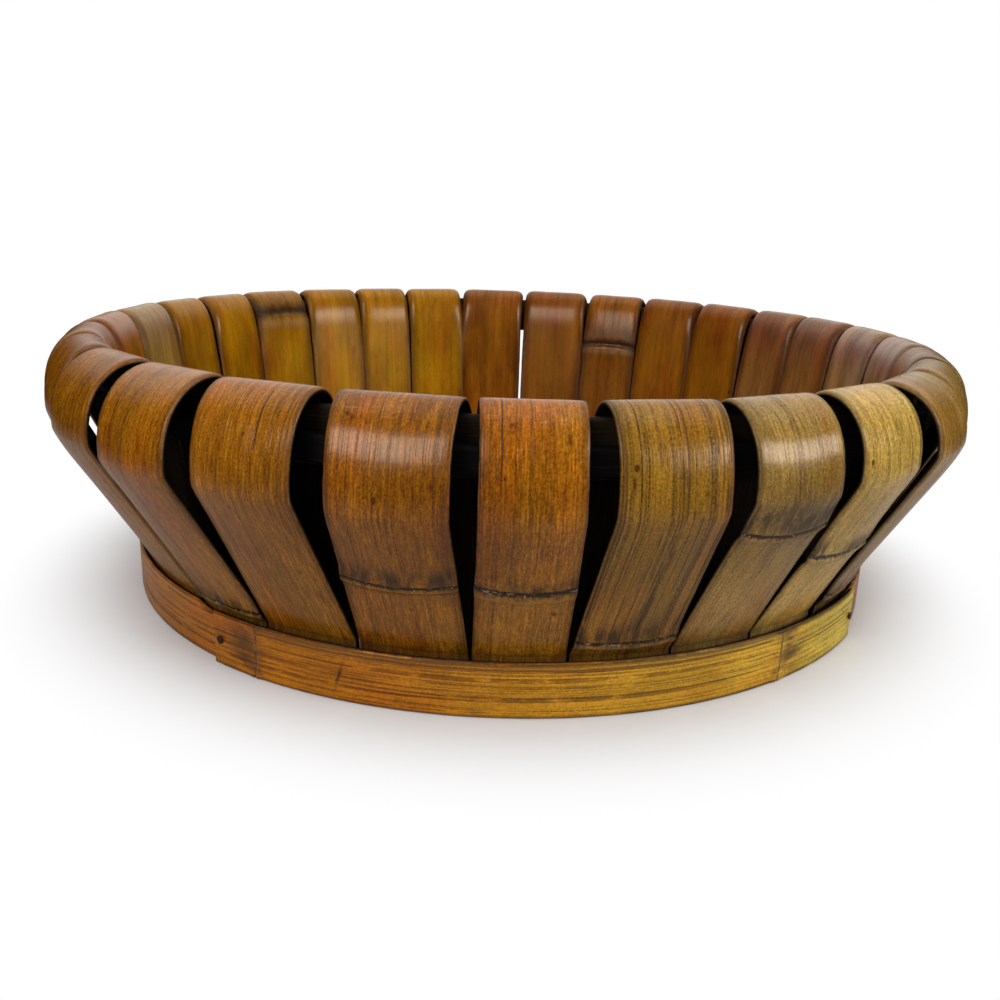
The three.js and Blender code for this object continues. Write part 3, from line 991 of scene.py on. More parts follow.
class BambooSkin:
    """Varnished bamboo skin. Each method lays one kind of mark over the colour, in the order of make."""

    def __init__(self, name, finish, marks, soot_colour):
        self.material, self.graph = new_finish(name)
        self.finish = finish
        self.marks = marks
        self.soot_colour = soot_colour
        across, along, self.seed = self.graph.attribute("strip", "Vector").split()
        side, self.face, self.share = self.graph.attribute("face", "Vector").split()
        bold, near, reach = self.graph.attribute("node", "Vector").split()
        self.across, self.along, self.side = across * MM, along * MM, abs(side)
        self.bold, self.near, self.reach = bold * MM, near * MM, reach * MM
        self.streaks = self.graph.attribute("streaks")
        self.flecks = self.graph.attribute("flecks")
        self.leg = self.share.step(*LEG_START) if marks.folded else 1.0
        self.wall = 1 - self.leg
        self.crisp = WALL_CRISPNESS + self.leg * (1 - WALL_CRISPNESS)
        self.stain = self.grain("stain")
        self.patch = self.grain("patch")
        self.colour = self.graph.attribute("tone", "Color")

    def make(self):
        self.lay_fibres()
        if self.marks.folded:
            self.lay_clouds()
        self.lay_streaks()
        self.lay_spots()
        self.lay_nodes()
        self.lay_cracks()
        self.lay_dirt_and_shade()
        self.set_gloss()
        return self.material

    def grain(self, name):
        kind = GRAINS[name]
        depth = self.seed * SEED_SPREAD + kind.place
        place = self.graph.vector(self.across * kind.across, self.along * kind.along, depth)
        noise = self.graph.noise(place, kind.detail, kind.roughness)
        return noise.step(*kind.fade) if kind.fade else noise

    def stained(self, name):
        return self.stain.step(*STAIN_FADES[name])

    def tint(self, name, mask):
        tint = TINTS[name]
        self.cover(mask * tint.strength, self.colour * tint.colour)

    def cover(self, mask, colour):
        self.colour = self.graph.mixed(mask, self.colour, colour)

    def lay_fibres(self):
        """Straight fibres and bands, a fine mottle and warm patches."""
        whole = BROKEN_FIBRE + self.grain("broken") * (1 - BROKEN_FIBRE)
        self.fibre = self.grain("fibre") * whole * self.crisp
        self.band = self.grain("band")
        speckle = (self.grain("mottle") - 0.5) * self.crisp * self.marks.speckle
        shade = BASE_SHADE + self.band * BAND_SHADE + speckle
        shade = shade - self.fibre * (FIBRE_SHADE + self.streaks * STREAK_SHADE)
        self.colour = self.colour * (shade * (PATCH_LOW + self.patch * PATCH_RANGE))
        self.tint("warm", self.grain("warm"))

    def lay_clouds(self):
        """Clouds on the inner wall, a hazy crest, painted shade under the fold and its scuffs."""
        cloud = self.grain("cloud")
        self.tint("dark cloud", cloud.step(*DARK_CLOUD) * self.wall)
        self.tint("pale cloud", cloud.step(*PALE_CLOUD) * self.wall)
        self.tint("crest", (self.share - HAZE_SHARE).hump(HAZE_REACH) * self.wall)
        # Painted shade: the leg is darkened just under the fold, where the fold's overhang shades it.
        self.tint("painted_shade", (self.share - PAINTED_SHADE_SHARE).hump(PAINTED_SHADE_REACH))
        scuff = self.grain("scuff") * (self.share - SCUFF_SHARE).hump(SCUFF_REACH) * self.leg
        self.cover(scuff * SCUFF_STRENGTH, self.finish.dust)

    def lay_streaks(self):
        """Dark lines, pale and dark dashes, and stains along the fibres."""
        self.line = self.grain("thread") * self.stained("line") * self.streaks * self.crisp
        self.tint("line", self.line)
        dash = self.grain("dash")
        self.pale = dash.step(*PALE_DASH) * self.flecks * self.crisp
        self.tint("pale dash", self.pale)
        self.tint("dark dash", dash.step(*DARK_DASH) * self.flecks * self.crisp)
        self.tint("stain", self.stained("stain"))

    def lay_spots(self):
        """Rare specks, and the knots, nicks and slits that have places of their own."""
        place = self.graph.vector(self.across * SPECK_ACROSS, self.along * SPECK_ALONG, self.seed)
        cell = self.graph.node("ShaderNodeTexVoronoi", {"Vector": place, "Scale": 1.0})
        spot = cell.step(*SPECK_EDGE) * (cell.of("Color").split()[0] > SPECK_RARITY)
        for name in SPOT_NAMES:
            spot_across, spot_along, length = self.graph.attribute(name, "Vector").split()
            aside = self.across - spot_across * MM
            onward = self.along - spot_along * MM - aside * self.marks.spot_slant
            aside = (aside + (self.stain - 0.5) * SPOT_RAGGEDNESS).hump(self.marks.spot_width)
            spot = spot.most(aside * onward.hump(length * MM))
        self.cover(spot * SPOT_STRENGTH, self.finish.spot if self.marks.folded else self.finish.scar)

    def lay_nodes(self):
        """The dark scar of a node with soot over it, a worn lip and crumbs."""
        wall = self.wall
        soot = (self.near + self.reach * SOOT_RISE).hump(self.reach)
        soot = soot * self.grain("soot").most(wall * WALL_SOOT)
        smudge = (self.near - SMUDGE_PLACE).hump(SMUDGE_REACH) * self.stained("smudge")
        self.smudge = soot.most(smudge * SMUDGE_SHARE)
        dark = self.graph.mixed(wall, self.soot_colour, self.finish.bruise)
        self.cover(self.smudge * SOOT_STRENGTH, dark)
        lip = (self.bold - WORN_PLACE).hump(WORN_REACH) * self.stained("lip")
        self.cover(lip * self.marks.lip, self.finish.worn_and_highlight)
        away = abs(self.bold + self.stained("scar") * SCAR_RAGGEDNESS - SCAR_PLACE)
        scar = away.step(SCAR_OUTER + wall * WALL_SCAR_OUTER, SCAR_INNER - wall * WALL_SCAR_INNER)
        self.scar = scar * (1 - wall * WALL_SCAR_FADE) * self.marks.scar
        self.cover(self.scar, self.soot_colour)
        crumb = self.grain("crumb") * self.scar * self.leg
        self.cover(crumb * CRUMB_STRENGTH, self.finish.dust)

    def lay_cracks(self):
        """A drying crack along the fibres. A band's has a second one beside it."""
        offset, start, end = self.graph.attribute("crack", "Vector").split()
        start, end = start * MM, end * MM
        drift = (self.grain("drift") - 0.5) * CRACK_DRIFT
        opened = self.along.step(start, start + CRACK_START)
        opened = opened * (1 - self.along.step(end - CRACK_END, end))
        beside = self.across - offset * MM - drift
        self.crack = beside.hump(self.marks.crack_width) * opened
        if not self.marks.folded:
            second = (beside - SECOND_CRACK_PLACE).hump(SECOND_CRACK_WIDTH) * opened
            self.crack = self.crack.most(second * SECOND_CRACK_SHARE)
        colour = self.finish.scar if self.marks.folded else self.soot_colour
        self.cover(self.crack * CRACK_STRENGTH, colour)

    def lay_dirt_and_shade(self):
        """Edges darkened by dirt and painted shade, pale edges from wear and a painted highlight, dirt and
        painted shadow just over the foot band, and bare pith at the edges.
        """
        wall, low, self.shadow_and_dirt_at_band = self.wall, 0.0, 0.0
        if self.marks.folded:
            height = self.graph.node("ShaderNodeTexCoord", output="Object").split()[2]
            # Darker towards the foot band: painted shade from the band and the gap behind it, made patchy
            # like dirt by the stain grain
            low = height.step(BAND_TOP + DIRT_AND_SHADE_RISE, BAND_TOP)
            # Painted shadow and dirt, nearly black, just over the foot band's top
            self.shadow_and_dirt_at_band = height.step(BAND_TOP + SHADOW_AND_DIRT_RISE, BAND_TOP - SHADOW_AND_DIRT_DEPTH)
            self.shadow_and_dirt_at_band = self.shadow_and_dirt_at_band * (SHADOW_AND_DIRT_LOW + self.patch * SHADOW_AND_DIRT_RANGE)
        # Edges darkened by dirt and painted shade; on the inner wall the painted shade is full and nearly
        # even
        edge = self.side.step(EDGE_START - wall * WALL_EDGE - low * LOW_EDGE, EDGE_END)
        edge = edge * (EDGE_STRENGTH + wall * (1 - EDGE_STRENGTH))
        self.dirt_and_shade = edge.most(low * low * DIRT_AND_SHADE_SHARE) * self.stained("dirt_and_shade").most(wall * WALL_PAINTED_SHADE)
        self.tint("dirt_and_shade", self.dirt_and_shade)
        self.cover(self.shadow_and_dirt_at_band, self.finish.scar)
        self.skin = self.face.step(*SKIN_EDGE)
        # Pale line along the skin's outermost edges: wear, and a painted highlight
        worn_and_highlit = self.side.step(*WORN_HIGHLIT_EDGE) * self.skin * self.stained("worn_and_highlit")
        self.cover(worn_and_highlit * WORN_HIGHLIT_STRENGTH, self.finish.worn_and_highlight)
        self.cover(1 - self.skin, self.finish.pith)

    def set_gloss(self):
        """Roughness and relief of the marks. The varnish is dull at the wall's edges and nodes."""
        rough = self.finish.gloss + self.fibre * ROUGHNESS["fibre"] + self.line * ROUGHNESS["line"]
        # Roughness over soot, and over dirt with painted shade
        dirt = self.smudge * ROUGHNESS["smudge"] + self.dirt_and_shade * ROUGHNESS["dirt_and_shade"]
        rough = rough + dirt * self.leg + (1 - self.skin) * ROUGHNESS["pith"]
        dull = self.side.step(*DULL_EDGE) * DULL_EDGE_ROUGH
        dull_node = self.bold.hump(DULL_NODE_REACH) * self.side.step(*DULL_NODE_SIDE)
        rough = rough + self.wall * (dull + dull_node * DULL_NODE_ROUGH + ROUGHNESS["wall"])
        relief = self.band * self.crisp * RELIEF["band"] - self.fibre * RELIEF["fibre"]
        relief = relief - self.line * RELIEF["line"] + self.pale * RELIEF["pale dash"]
        relief = relief - self.crack * RELIEF["crack"] - self.scar
        set_surface(self.graph, {
            "Base Color": self.colour,
            "Roughness": rough + self.shadow_and_dirt_at_band * ROUGHNESS["shadow_and_dirt_at_band"],
            "Specular IOR Level": SKIN_SPECULAR,
            "Specular Tint": self.finish.varnish,
            "Normal": raised(self.graph, relief, SKIN_RELIEF),
        })


# Coarse fibres of the pith and the hoops: waves a millimetre across and along, step between seeds, and the
# noise's detail and roughness
Fibre = namedtuple("Fibre", "across along seed detail roughness")
PITH_FIBRE = Fibre(1.8, 0.06, 6.3, 4.0, 0.65)
PITH_FADE, PITH_STRENGTH = (0.4, 0.7), 0.6
PITH_ROUGH, PITH_ROUGH_RANGE, PITH_SPECULAR, PITH_RELIEF = 0.7, 0.2, 0.04, 0.0002
HOOP_FIBRE = Fibre(1.6, 0.03, 4.1, 4.0, 0.65)
HOOP_PATCH = Fibre(0.2, 0.05, 8.0, 3.0, 0.5)
HOOP_FIBRE_FADE, HOOP_PATCH_FADE = (0.5, 0.72), (0.35, 0.65)
GREY_STRENGTH, GREY_TIMES = 0.5, 5.0
HOOP_ROUGH, HOOP_ROUGH_RANGE, HOOP_SPECULAR, HOOP_RELIEF = 0.62, 0.2, 0.06, 0.0003


def strip_fibre(graph, kind):
    across, along, seed = graph.attribute("strip", "Vector").split()
    place = graph.vector(across * MM * kind.across, along * MM * kind.along, seed * kind.seed)
    return graph.noise(place, kind.detail, kind.roughness)


def pith_finish(name, finish):
    """Coarse inner side of a split, black from stain and smoke."""
    material, graph = new_finish(name)
    fibre = strip_fibre(graph, PITH_FIBRE)
    colour = graph.mixed(fibre.step(*PITH_FADE) * PITH_STRENGTH, finish.pith, finish.pith_fibre)
    set_surface(graph, {
        "Base Color": colour,
        "Roughness": PITH_ROUGH + fibre * PITH_ROUGH_RANGE,
        "Specular IOR Level": PITH_SPECULAR,
        "Normal": raised(graph, fibre, PITH_RELIEF),
    })
    return material


def hoop_finish():
    """Black stained bamboo, dry and split, with grey along the fibres."""
    material, graph = new_finish("stained_hoop")
    tone = graph.attribute("tone", "Color")
    fibre = strip_fibre(graph, HOOP_FIBRE)
    grey = fibre.step(*HOOP_FIBRE_FADE) * strip_fibre(graph, HOOP_PATCH).step(*HOOP_PATCH_FADE)
    colour = graph.mixed(grey * GREY_STRENGTH, tone, tone * GREY_TIMES)
    set_surface(graph, {
        "Base Color": colour,
        "Roughness": HOOP_ROUGH - grey * HOOP_ROUGH_RANGE,
        "Specular IOR Level": HOOP_SPECULAR,
        "Normal": raised(graph, fibre, HOOP_RELIEF),
    })
    return material


# Grains of the board: waves a millimetre along and across the wood, and the noise's detail and roughness
Wood = namedtuple("Wood", "along across detail roughness", defaults=(0.5,))
WOOD_DRIFT, DRIFT_SHARE = Wood(0.006, 0.03, 2.0), 0.4
WOOD_GROWTH = Wood(0.0035, 0.02, 1.0)
WOOD_FIBRE = Wood(0.03, 1.9, 4.0, 0.6)
WOOD_PORE, PORE_FADE, PORE_STRENGTH = Wood(0.1, 3.4, 1.0), (0.62, 0.72), 0.7
GROWTH_DEPTH, RING_COUNT, RING_SLOPE = 0.03, 95.0, 0.12
RING_STRENGTH, FIBRE_STRENGTH = 0.4, 0.6
BOARD_ROUGH, BOARD_ROUGH_RANGE, BOARD_FIBRE_RELIEF, BOARD_RELIEF = 0.44, 0.2, 0.5, 0.00012


def board_finish(finish):
    """Dark stained wood with long grain and pores."""
    material, graph = new_finish("board_wood")
    x, y, z = graph.node("ShaderNodeTexCoord", output="Object").split()
    x, y, z = x * MM, y * MM, z * MM

    def wood(kind):
        place = graph.vector(x * kind.along, y * kind.across, z * kind.across)
        return graph.noise(place, kind.detail, kind.roughness)

    drift = (wood(WOOD_DRIFT) - 0.5) * DRIFT_SHARE
    place = graph.vector(x * WOOD_GROWTH.along, y * WOOD_GROWTH.across + drift, z * GROWTH_DEPTH)
    growth = graph.noise(place, WOOD_GROWTH.detail, WOOD_GROWTH.roughness)
    rings = (growth * RING_COUNT + y * RING_SLOPE).sine() * 0.5 + 0.5
    fibre = wood(WOOD_FIBRE)
    pores = wood(WOOD_PORE).step(*PORE_FADE)
    grain = rings * RING_STRENGTH + fibre * FIBRE_STRENGTH
    colour = graph.mixed(grain, finish.board, finish.board_grain)
    colour = graph.mixed(pores * PORE_STRENGTH, colour, finish.scar)
    set_surface(graph, {
        "Base Color": colour,
        "Roughness": BOARD_ROUGH + fibre * BOARD_ROUGH_RANGE,
        "Normal": raised(graph, fibre * BOARD_FIBRE_RELIEF - pores, BOARD_RELIEF),
    })
    return material


RUST_SCALE, RUST_DETAIL, RUST_COARSENESS, RUST_FADE = 2600.0, 3.0, 0.6, (0.35, 0.6)
DULL_FADE, DULL_STRENGTH = (0.45, 0.7), 0.8
TACK_ROUGH, TACK_ROUGH_RANGE, TACK_RELIEF = 0.38, 0.3, 0.00005


def tack_finish(finish):
    """Darkened steel with rust in its low places."""
    material, graph = new_finish("tack_steel")
    place = graph.node("ShaderNodeTexCoord", output="Object") * RUST_SCALE
    rust = graph.noise(place, RUST_DETAIL, RUST_COARSENESS)
    colour = graph.mixed(rust.step(*RUST_FADE), finish.steel, finish.rust)
    set_surface(graph, {
        "Base Color": colour,
        "Metallic": 1 - rust.step(*DULL_FADE) * DULL_STRENGTH,
        "Roughness": TACK_ROUGH + rust * TACK_ROUGH_RANGE,
        "Normal": raised(graph, rust, TACK_RELIEF),
    })
    return material


# Pieces

def lathe_mesh(name, profile, facets, material):
    """A closed round solid about Z. The profile runs from the axis at the bottom to the axis at the top."""
    shape = bmesh.new()
    rings = []
    for radius, height in profile:
        if radius == 0:
            rings.append([shape.verts.new((0, 0, height))] * facets)
            continue
        ring = []
        for index in range(facets):
            turn = 2 * math.pi * index / facets
            ring.append(shape.verts.new((radius * math.cos(turn), radius * math.sin(turn), height)))
        rings.append(ring)
    for lower, upper in zip(rings, rings[1:]):
        for index in range(facets):
            following = (index + 1) % facets
            corners = [lower[index], lower[following], upper[following], upper[index]]
            shape.faces.new(list(dict.fromkeys(corners))).smooth = True
    mesh = bpy.data.meshes.new(name)
    shape.to_mesh(mesh)
    shape.free()
    mesh.materials.append(material)
    return mesh


def eased_corner(radius, height, ease, upper):
    """Profile points of a rounded outer edge, from the lower end up."""
    points = []
    for step in range(EASE_STEPS + 1):
        angle = math.pi / 2 * step / EASE_STEPS
        if upper:
            points.append((radius - ease + ease * math.cos(angle), height - ease + ease * math.sin(angle)))
        else:
            points.append((radius - ease + ease * math.sin(angle), height + ease - ease * math.cos(angle)))
    return points


def settings_of(context):
    return context.scene.basket_tray


class BASKET_OT_slats(bpy.types.Operator):
    """Fold the thirty slats over the rim"""

    bl_idname = "basket.slats"
    bl_label = "Fold slats"

    def execute(self, context):
        settings = settings_of(context)
        slat, finish = settings.slats, settings.finish
        material = BambooSkin("bamboo_skin", finish, SLAT_MARKS, finish.scar).make()
        pith = pith_finish("slat_pith", finish)
        for number, node in enumerate(SLAT_NODES, 1):
            place = slat_place(node, slat.thickness)
            bend = slat_bend(place, slat)
            far = (1 - math.cos(place.turn)) / 2
            skin_name = SKIN_LETTERS[slat.tones[number - 1]]
            skin = SKINS[skin_name]
            tone = Vector(getattr(finish, skin_name))
            values = {
                "Across": sideways(place.turn),
                "Width": place.width,
                "Flare": slat.back_flare * far,
                "Thickness": slat.thickness,
                "Edge Round": slat.edge_round,
                "Wave": slat.wave,
                "Edge Wobble": slat.edge_wobble,
                "Edge Droop": slat.front_droop + (slat.back_droop - slat.front_droop) * far,
                "Node One": self.leg_node(number, bend),
                "Node Two": self.wall_node(number, bend),
                "Node Swell": slat.node_swell,
                "Node Groove": slat.node_groove,
                "Node Bow": slat.node_bow,
                "Node Size": self.known_node(number).size,
                "Soot": self.known_node(number).soot,
                "Crack": self.crack_run(number, bend),
                **self.spots_on(number, bend),
                "Streaks": skin.streaks,
                "Flecks": skin.flecks,
                "Tone": (*tone, 1.0),
                "End Tone": (*(tone * Vector(skin.fade)), 1.0),
                "Fade": SLAT_FADE,
                "Seed": float(number),
                "Steps Along": slat.steps_along,
                "Steps Round": slat.steps_round,
                "Skin": material,
                "Pith": pith,
            }
            points = self.path(number, place, bend)
            piece = strip_piece(f"{node}_bamboo", points, values, crown_along(bend, place, slat))
            seat(piece, node)
        return {"FINISHED"}

    def path(self, number, place, bend):
        """The bend in the basket, with the slat's sway at the rim and its lean halfway up."""
        distances = distances_along(bend)
        lean = LEANS.get(number, UPRIGHT)
        points = []
        for point, distance in zip(bend, distances):
            share = distance / distances[-1]
            sway = place.sway * math.sin(math.pi * share)
            leaning = (lean.wall if share < 0.5 else lean.leg) * abs(math.sin(2 * math.pi * share))
            aside = sideways(place.turn) * (sway + leaning)
            points.append(outward(place.turn) * point.x + aside + Vector((0, 0, point.y)))
        return points

    def known_node(self, number):
        """The node that a slat shows, or would show if it had one."""
        height = HIDDEN_NODE_LOW + HIDDEN_NODE_REACH * (number * GOLDEN_SHARE % 1)
        plain = Node(height, HIDDEN_NODE_SIZE, HIDDEN_NODE_SOOT)
        return LEG_NODES.get(number) or WALL_NODES.get(number) or plain

    def leg_node(self, number, bend):
        hidden = number in HIDDEN_LEGS and number % HIDDEN_NODE_STEP == 0 and number not in WALL_NODES
        if number in LEG_NODES or hidden:
            return distance_at_height(bend, self.known_node(number).height, outside=True)
        return NO_NODE

    def wall_node(self, number, bend):
        if number in WALL_NODES:
            return distance_at_height(bend, WALL_NODES[number].height, outside=False)
        return NO_NODE

    def spots_on(self, number, bend):
        found = {}
        for name, spot in zip(SPOT_NAMES, SPOTS.get(number, ())):
            found[name] = (spot.side, distance_at_height(bend, spot.height, outside=True), spot.length)
        return found

    def crack_run(self, number, bend):
        if number not in CRACKS:
            return NO_CRACK
        crack = CRACKS[number]
        heights = (crack.top, crack.bottom)
        return (crack.side, *(distance_at_height(bend, height, outside=True) for height in heights))


class BASKET_OT_rim_hoops(bpy.types.Operator):
    """Bend the two stained hoops inside the fold"""

    bl_idname = "basket.rim_hoops"
    bl_label = "Bend rim hoops"

    def execute(self, context):
        settings = settings_of(context)
        rim = settings.rim
        material = hoop_finish()
        # Painted shade: the outer hoop takes a darker copy of the inner hoop's stain
        lit_and_shaded_stains = (settings.finish.stain, settings.finish.char)
        for number, (node, stain) in enumerate(zip(HOOP_NODES, lit_and_shaded_stains), 1):
            ring = ring_of(node)
            start, end = ring.start, ring.end
            if node == HOOP_NODES[0]:
                start = rim.joint_turn
                end = start + 2 * math.pi - rim.joint_gap / ring.outer
            piece = strip_piece(f"{node}_strip", ring_path(ring, start, end), {
                "Across": Vector((0, 0, 1)),
                "Width": ring.high - ring.low,
                "Thickness": ring.outer - ring.inner,
                "Edge Round": rim.edge_round,
                "Wave": rim.wave,
                "Edge Wobble": rim.wave,
                "Tone": (*stain, 1.0),
                "End Tone": (*stain, 1.0),
                "Seed": HOOP_SEED + number,
                "Steps Along": HOOP_STEPS_ALONG,
                "Steps Round": HOOP_STEPS_ROUND,
                "Skin": material,
                "Pith": material,
            })
            seat(piece, node)
        return {"FINISHED"}


class BASKET_OT_foot_bands(bpy.types.Operator):
    """Bend the front and back foot bands round the slat ends"""

    bl_idname = "basket.foot_bands"
    bl_label = "Bend foot bands"

    def execute(self, context):
        settings = settings_of(context)
        foot, slat, finish = settings.foot, settings.slats, settings.finish
        material = BambooSkin("band_bamboo", finish, BAND_MARKS, finish.bruise).make()
        pith = pith_finish("band_pith", finish)
        for number, node in enumerate(BAND_NODES, 1):
            ring = ring_of(node)
            radius = (ring.inner + ring.outer) / 2
            length = (ring.end - ring.start) * radius
            if node == BAND_NODES[0]:
                ends = [finish.band_left, finish.band_right]
                places = [(turn - ring.start) * radius for turn in (foot.left_node, foot.right_node)]
                crack = (foot.crack_offset, *places)
                slit = (foot.slit_offset, (foot.slit_turn - ring.start) * radius, foot.slit_width)
                lap_drop = 0.0
            else:
                ends = [finish.band_back, finish.band_left]
                places = [length * share for share in BACK_BAND_NODES]
                crack = NO_CRACK
                slit = NO_SPOT
                lap_drop = foot.lap_drop
            piece = strip_piece(f"{node}_bamboo", ring_path(ring, ring.start, ring.end), {
                "Across": Vector((0, 0, 1)),
                "Width": ring.high - ring.low - 2 * foot.edge_wobble,
                "Thickness": ring.outer - ring.inner,
                "Edge Round": foot.edge_round,
                "Wave": foot.wave,
                "Edge Wobble": foot.edge_wobble,
                "Node One": places[0],
                "Node Two": places[1],
                "Node Swell": slat.node_swell * BAND_SWELL_SHARE,
                "Node Groove": slat.node_groove * BAND_GROOVE_SHARE,
                "Node Bow": BAND_NODE_BOW,
                "Node Size": BAND_NODE_SIZE,
                "Crack": crack,
                SPOT_NAMES[0]: slit,
                "Streaks": BAND_STREAKS,
                "Flecks": BAND_FLECKS,
                "Soot": foot.node_smudge,
                "Lap": foot.lap,
                "Lap Drop": lap_drop,
                "Tone": (*ends[0], 1.0),
                "End Tone": (*ends[1], 1.0),
                "Fade": BAND_FADE,
                "Seed": BAND_SEED + number,
                "Steps Along": int(length / BAND_STEP),
                "Steps Round": BAND_STEPS_ROUND,
                "Skin": material,
                "Pith": pith,
            })
            seat(piece, node)
        return {"FINISHED"}


class BASKET_OT_base_board(bpy.types.Operator):
    """Turn the base board that the slat ends stand round"""

    bl_idname = "basket.base_board"
    bl_label = "Turn base board"

    def execute(self, context):
        settings = settings_of(context)
        foot = settings.foot
        low, high = BOARD_BOX
        radius = high.x
        profile = [(0, low.z)]
        profile += [(radius * share, low.z) for share in BOARD_RINGS]
        profile += eased_corner(radius, low.z, foot.board_ease, upper=False)
        profile += eased_corner(radius, high.z, foot.board_ease, upper=True)
        profile += [(radius * share, high.z) for share in reversed(BOARD_RINGS)]
        profile += [(0, high.z)]
        mesh = lathe_mesh("base_board_wood", profile, foot.board_facets, board_finish(settings.finish))
        seat(linked("base_board_wood", mesh), BOARD_NODE)
        return {"FINISHED"}


class BASKET_OT_lap_tacks(bpy.types.Operator):
    """Drive the tacks through the laps of the foot bands"""

    bl_idname = "basket.lap_tacks"
    bl_label = "Drive lap tacks"

    def execute(self, context):
        settings = settings_of(context)
        foot = settings.foot
        material = tack_finish(settings.finish)
        for node in TACK_NODES:
            points = node_points(node)
            turn = mean_turn(points)
            axis = outward(turn)
            reach = [p.dot(axis) for p in points]
            low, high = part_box(node)
            head = (high.z - low.z) / 2
            shank = head / 2
            length = max(reach) - min(reach)
            head_foot = length - head * TACK_HEAD_HEIGHT
            profile = [(shank * radius, shank * height) for radius, height in TACK_POINT]
            profile += [(shank, head_foot), (head * TACK_HEAD_FOOT, head_foot)]
            profile += [(head, head_foot + foot.tack_dome * TACK_LIP_SHARE)]
            for step in range(DOME_STEPS):
                angle = math.pi / 2 * step / DOME_STEPS
                height = length - foot.tack_dome * (1 - math.sin(angle))
                profile += [(head * math.cos(angle), height)]
            profile += [(0, length)]
            mesh = lathe_mesh(f"{node}_steel", profile, foot.tack_facets, material)
            placed = Matrix((sideways(turn), Vector((0, 0, 1)), axis)).transposed().to_4x4()
            placed.translation = axis * min(reach) + Vector((0, 0, (low.z + high.z) / 2))
            mesh.transform(placed)
            seat(linked(f"{node}_steel", mesh), node)
        return {"FINISHED"}


Lamp = namedtuple("Lamp", "name place size mirrored")
LAMPS = (
    Lamp("left", outward(math.radians(-28)) + Vector((0, 0, 0.55)), (0.5, 0.42), True),
    Lamp("right", outward(math.radians(61)) + Vector((0, 0, 0.4)), (0.55, 0.27), True),
    Lamp("top", Vector((0.0, -0.35, 1.3)), (1.2, 1.2), False),
)

# Distances from the middle between which the floor turns white, and dark where the tray mirrors it
FLOOR_WHITE = (0.12, 0.18)
FLOOR_DARK = (0.3, 0.5)

# The lit side of the room leans back. The tray mirrors its middle, and over the middle its whole width.
LIT_BACK, LIT_UP, LIT_EDGE = 0.6, 0.8, (0.38, 0.82)
MIRRORED_SIDES = (0.62, 0.4)
MIRRORED_FOOT = (0.05, 0.15)
MIRRORED_TOP = (0.15, 0.45)
WHITE = (1.0, 1.0, 1.0)
BLACK = (0.0, 0.0, 0.0)
CAMERA_CLIP = 0.01


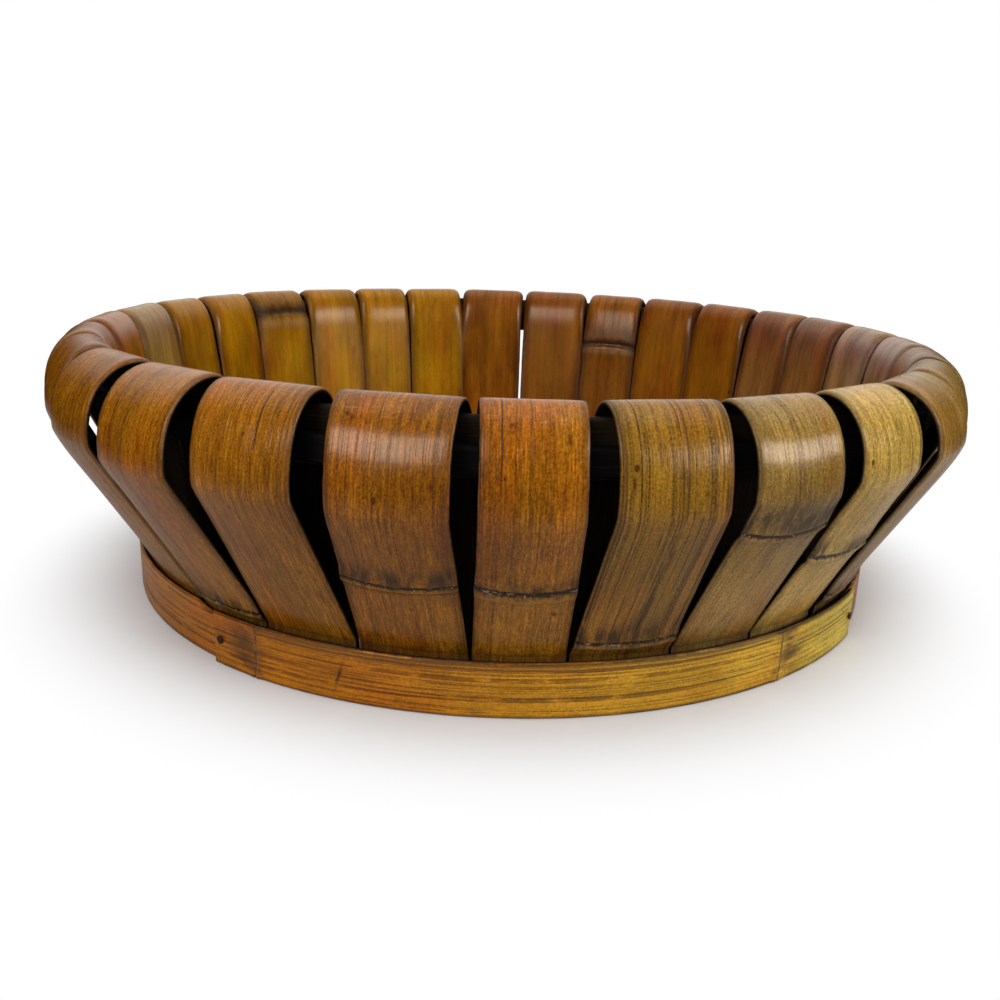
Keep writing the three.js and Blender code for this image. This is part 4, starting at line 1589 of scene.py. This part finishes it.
class BASKET_OT_stage(bpy.types.Operator):
    """Set the floor, the soft lights and the camera"""

    bl_idname = "basket.stage"
    bl_label = "Set stage"

    def execute(self, context):
        stage = settings_of(context).stage
        self.lay_floor(stage)
        self.light_all_round(context, stage)
        for lamp in LAMPS:
            self.hang_light(lamp, getattr(stage, f"{lamp.name}_power"))
        self.place_camera(context, stage)
        context.scene.view_settings.view_transform = "Standard"
        return {"FINISHED"}

    def lay_floor(self, stage):
        half = stage.floor_size / 2
        mesh = bpy.data.meshes.new("floor")
        corners = [(-half, -half, 0), (half, -half, 0), (half, half, 0), (-half, half, 0)]
        mesh.from_pydata(corners, [], [(0, 1, 2, 3)])
        material, graph = new_finish("floor_paper")
        place = graph.node("ShaderNodeTexCoord", output="Object")
        camera, mirrored = self.rays(graph)
        radius = place.worked("LENGTH").of("Value")
        seen = camera.most(mirrored * self.behind(place))
        dim = graph.mixed(radius.step(*FLOOR_DARK) * mirrored, stage.bounce, BLACK)
        paper = graph.node("ShaderNodeBsdfDiffuse", {"Color": graph.mixed(camera, dim, stage.paper)})
        white = graph.node("ShaderNodeEmission", {"Color": WHITE, "Strength": 1.0})
        away = radius.step(*FLOOR_WHITE)
        mixed = graph.node("ShaderNodeMixShader", {0: seen * away, 1: paper, 2: white})
        graph.node("ShaderNodeOutputMaterial", {"Surface": mixed})
        mesh.materials.append(material)
        floor = linked("floor", mesh)

    def rays(self, graph):
        """Whether a ray is the camera's, and whether it comes by way of a mirroring surface."""
        camera = graph.node("ShaderNodeLightPath", output="Is Camera Ray")
        return camera, camera.of("Is Glossy Ray").most(camera.of("Is Transmission Ray"))

    def above(self, place):
        """The backdrop and the ceiling over it, which light the tray."""
        _, back, up = place.worked("NORMALIZE").split()
        return (back * LIT_BACK + up * LIT_UP).step(*LIT_EDGE)

    def behind(self, place):
        """The part of the backdrop that the tray mirrors. The room in front is dark."""
        aside, _, up = place.worked("NORMALIZE").split()
        middle = abs(aside).step(*MIRRORED_SIDES) * up.step(*MIRRORED_FOOT)
        return self.above(place) * middle.most(up.step(*MIRRORED_TOP))

    def light_all_round(self, context, stage):
        world = bpy.data.worlds.new("white_room")
        world.use_nodes = True
        world.node_tree.nodes.clear()
        graph = Graph(world.node_tree)
        direction = graph.node("ShaderNodeTexCoord", output="Generated")
        camera, mirrored = self.rays(graph)
        lit = stage.fill + self.above(direction) * (stage.glow - stage.fill)
        strength = camera + mirrored * self.behind(direction) + (1 - camera.most(mirrored)) * lit
        white = graph.node("ShaderNodeBackground", {"Color": WHITE, "Strength": strength})
        graph.node("ShaderNodeOutputWorld", {"Surface": white})
        context.scene.world = world

    def hang_light(self, lamp, power):
        data = bpy.data.lights.new(f"{lamp.name}_light", "AREA")
        data.shape = "RECTANGLE"
        data.size, data.size_y = lamp.size
        data.energy = power
        hung = linked(f"{lamp.name}_light", data)
        hung.location = lamp.place
        hung.visible_glossy = lamp.mirrored
        target = (CAD_BOX[0] + CAD_BOX[1]) / 2
        hung.rotation_euler = (target - hung.location).to_track_quat("-Z", "Y").to_euler()

    def place_camera(self, context, stage):
        data = bpy.data.cameras.new("camera")
        data.lens = stage.lens
        data.clip_start = CAMERA_CLIP
        camera = linked("camera", data)
        yaw = Matrix.Rotation(stage.camera_yaw, 4, "Z")
        tilt = Matrix.Rotation(math.pi / 2 - stage.camera_tilt, 4, "X")
        roll = Matrix.Rotation(stage.camera_roll, 4, "Z")
        stand = Matrix.Translation((0, -stage.camera_distance, stage.camera_height))
        camera.matrix_world = stand @ (yaw @ tilt @ roll)
        context.scene.camera = camera


class BasketTray(bpy.types.PropertyGroup):
    """All sizes and colours of the basket tray."""

    slats: PointerProperty(type=SlatSettings, name="Slats", description="Folded slats")
    foot: PointerProperty(type=FootSettings, name="Foot", description="Bands, board and tacks")
    rim: PointerProperty(type=RimSettings, name="Rim", description="Hoops inside the fold")
    finish: PointerProperty(type=FinishSettings, name="Finish", description="Colours and gloss")
    stage: PointerProperty(type=StageSettings, name="Stage", description="Floor, light and camera")


OPERATORS = (
    BASKET_OT_slats,
    BASKET_OT_rim_hoops,
    BASKET_OT_foot_bands,
    BASKET_OT_base_board,
    BASKET_OT_lap_tacks,
    BASKET_OT_stage,
)


class BASKET_PT_tray(bpy.types.Panel):
    """Pieces, sizes and colours of the basket tray"""

    bl_idname = "BASKET_PT_tray"
    bl_label = "Basket tray"
    bl_space_type = "VIEW_3D"
    bl_region_type = "UI"
    bl_category = "Basket"

    def draw(self, context):
        for operator in OPERATORS:
            self.layout.operator(operator.bl_idname)
        settings = settings_of(context)
        for group in ("slats", "foot", "rim", "finish", "stage"):
            box = self.layout.box()
            box.label(text=group.capitalize())
            part = getattr(settings, group)
            for name in part.__annotations__:
                box.prop(part, name)


CLASSES = (
    SlatSettings,
    FootSettings,
    RimSettings,
    FinishSettings,
    StageSettings,
    BasketTray,
    *OPERATORS,
    BASKET_PT_tray,
)


def register():
    for made in CLASSES:
        bpy.utils.register_class(made)
    bpy.types.Scene.basket_tray = PointerProperty(
        type=BasketTray, name="Basket tray", description="Sizes and colours of the basket tray"
    )


def unregister():
    del bpy.types.Scene.basket_tray
    for made in reversed(CLASSES):
        bpy.utils.unregister_class(made)


def main():
    register()
    bpy.ops.basket.slats()
    bpy.ops.basket.rim_hoops()
    bpy.ops.basket.foot_bands()
    bpy.ops.basket.base_board()
    bpy.ops.basket.lap_tacks()
    bpy.ops.basket.stage()


if __name__ == "__main__":
    main()
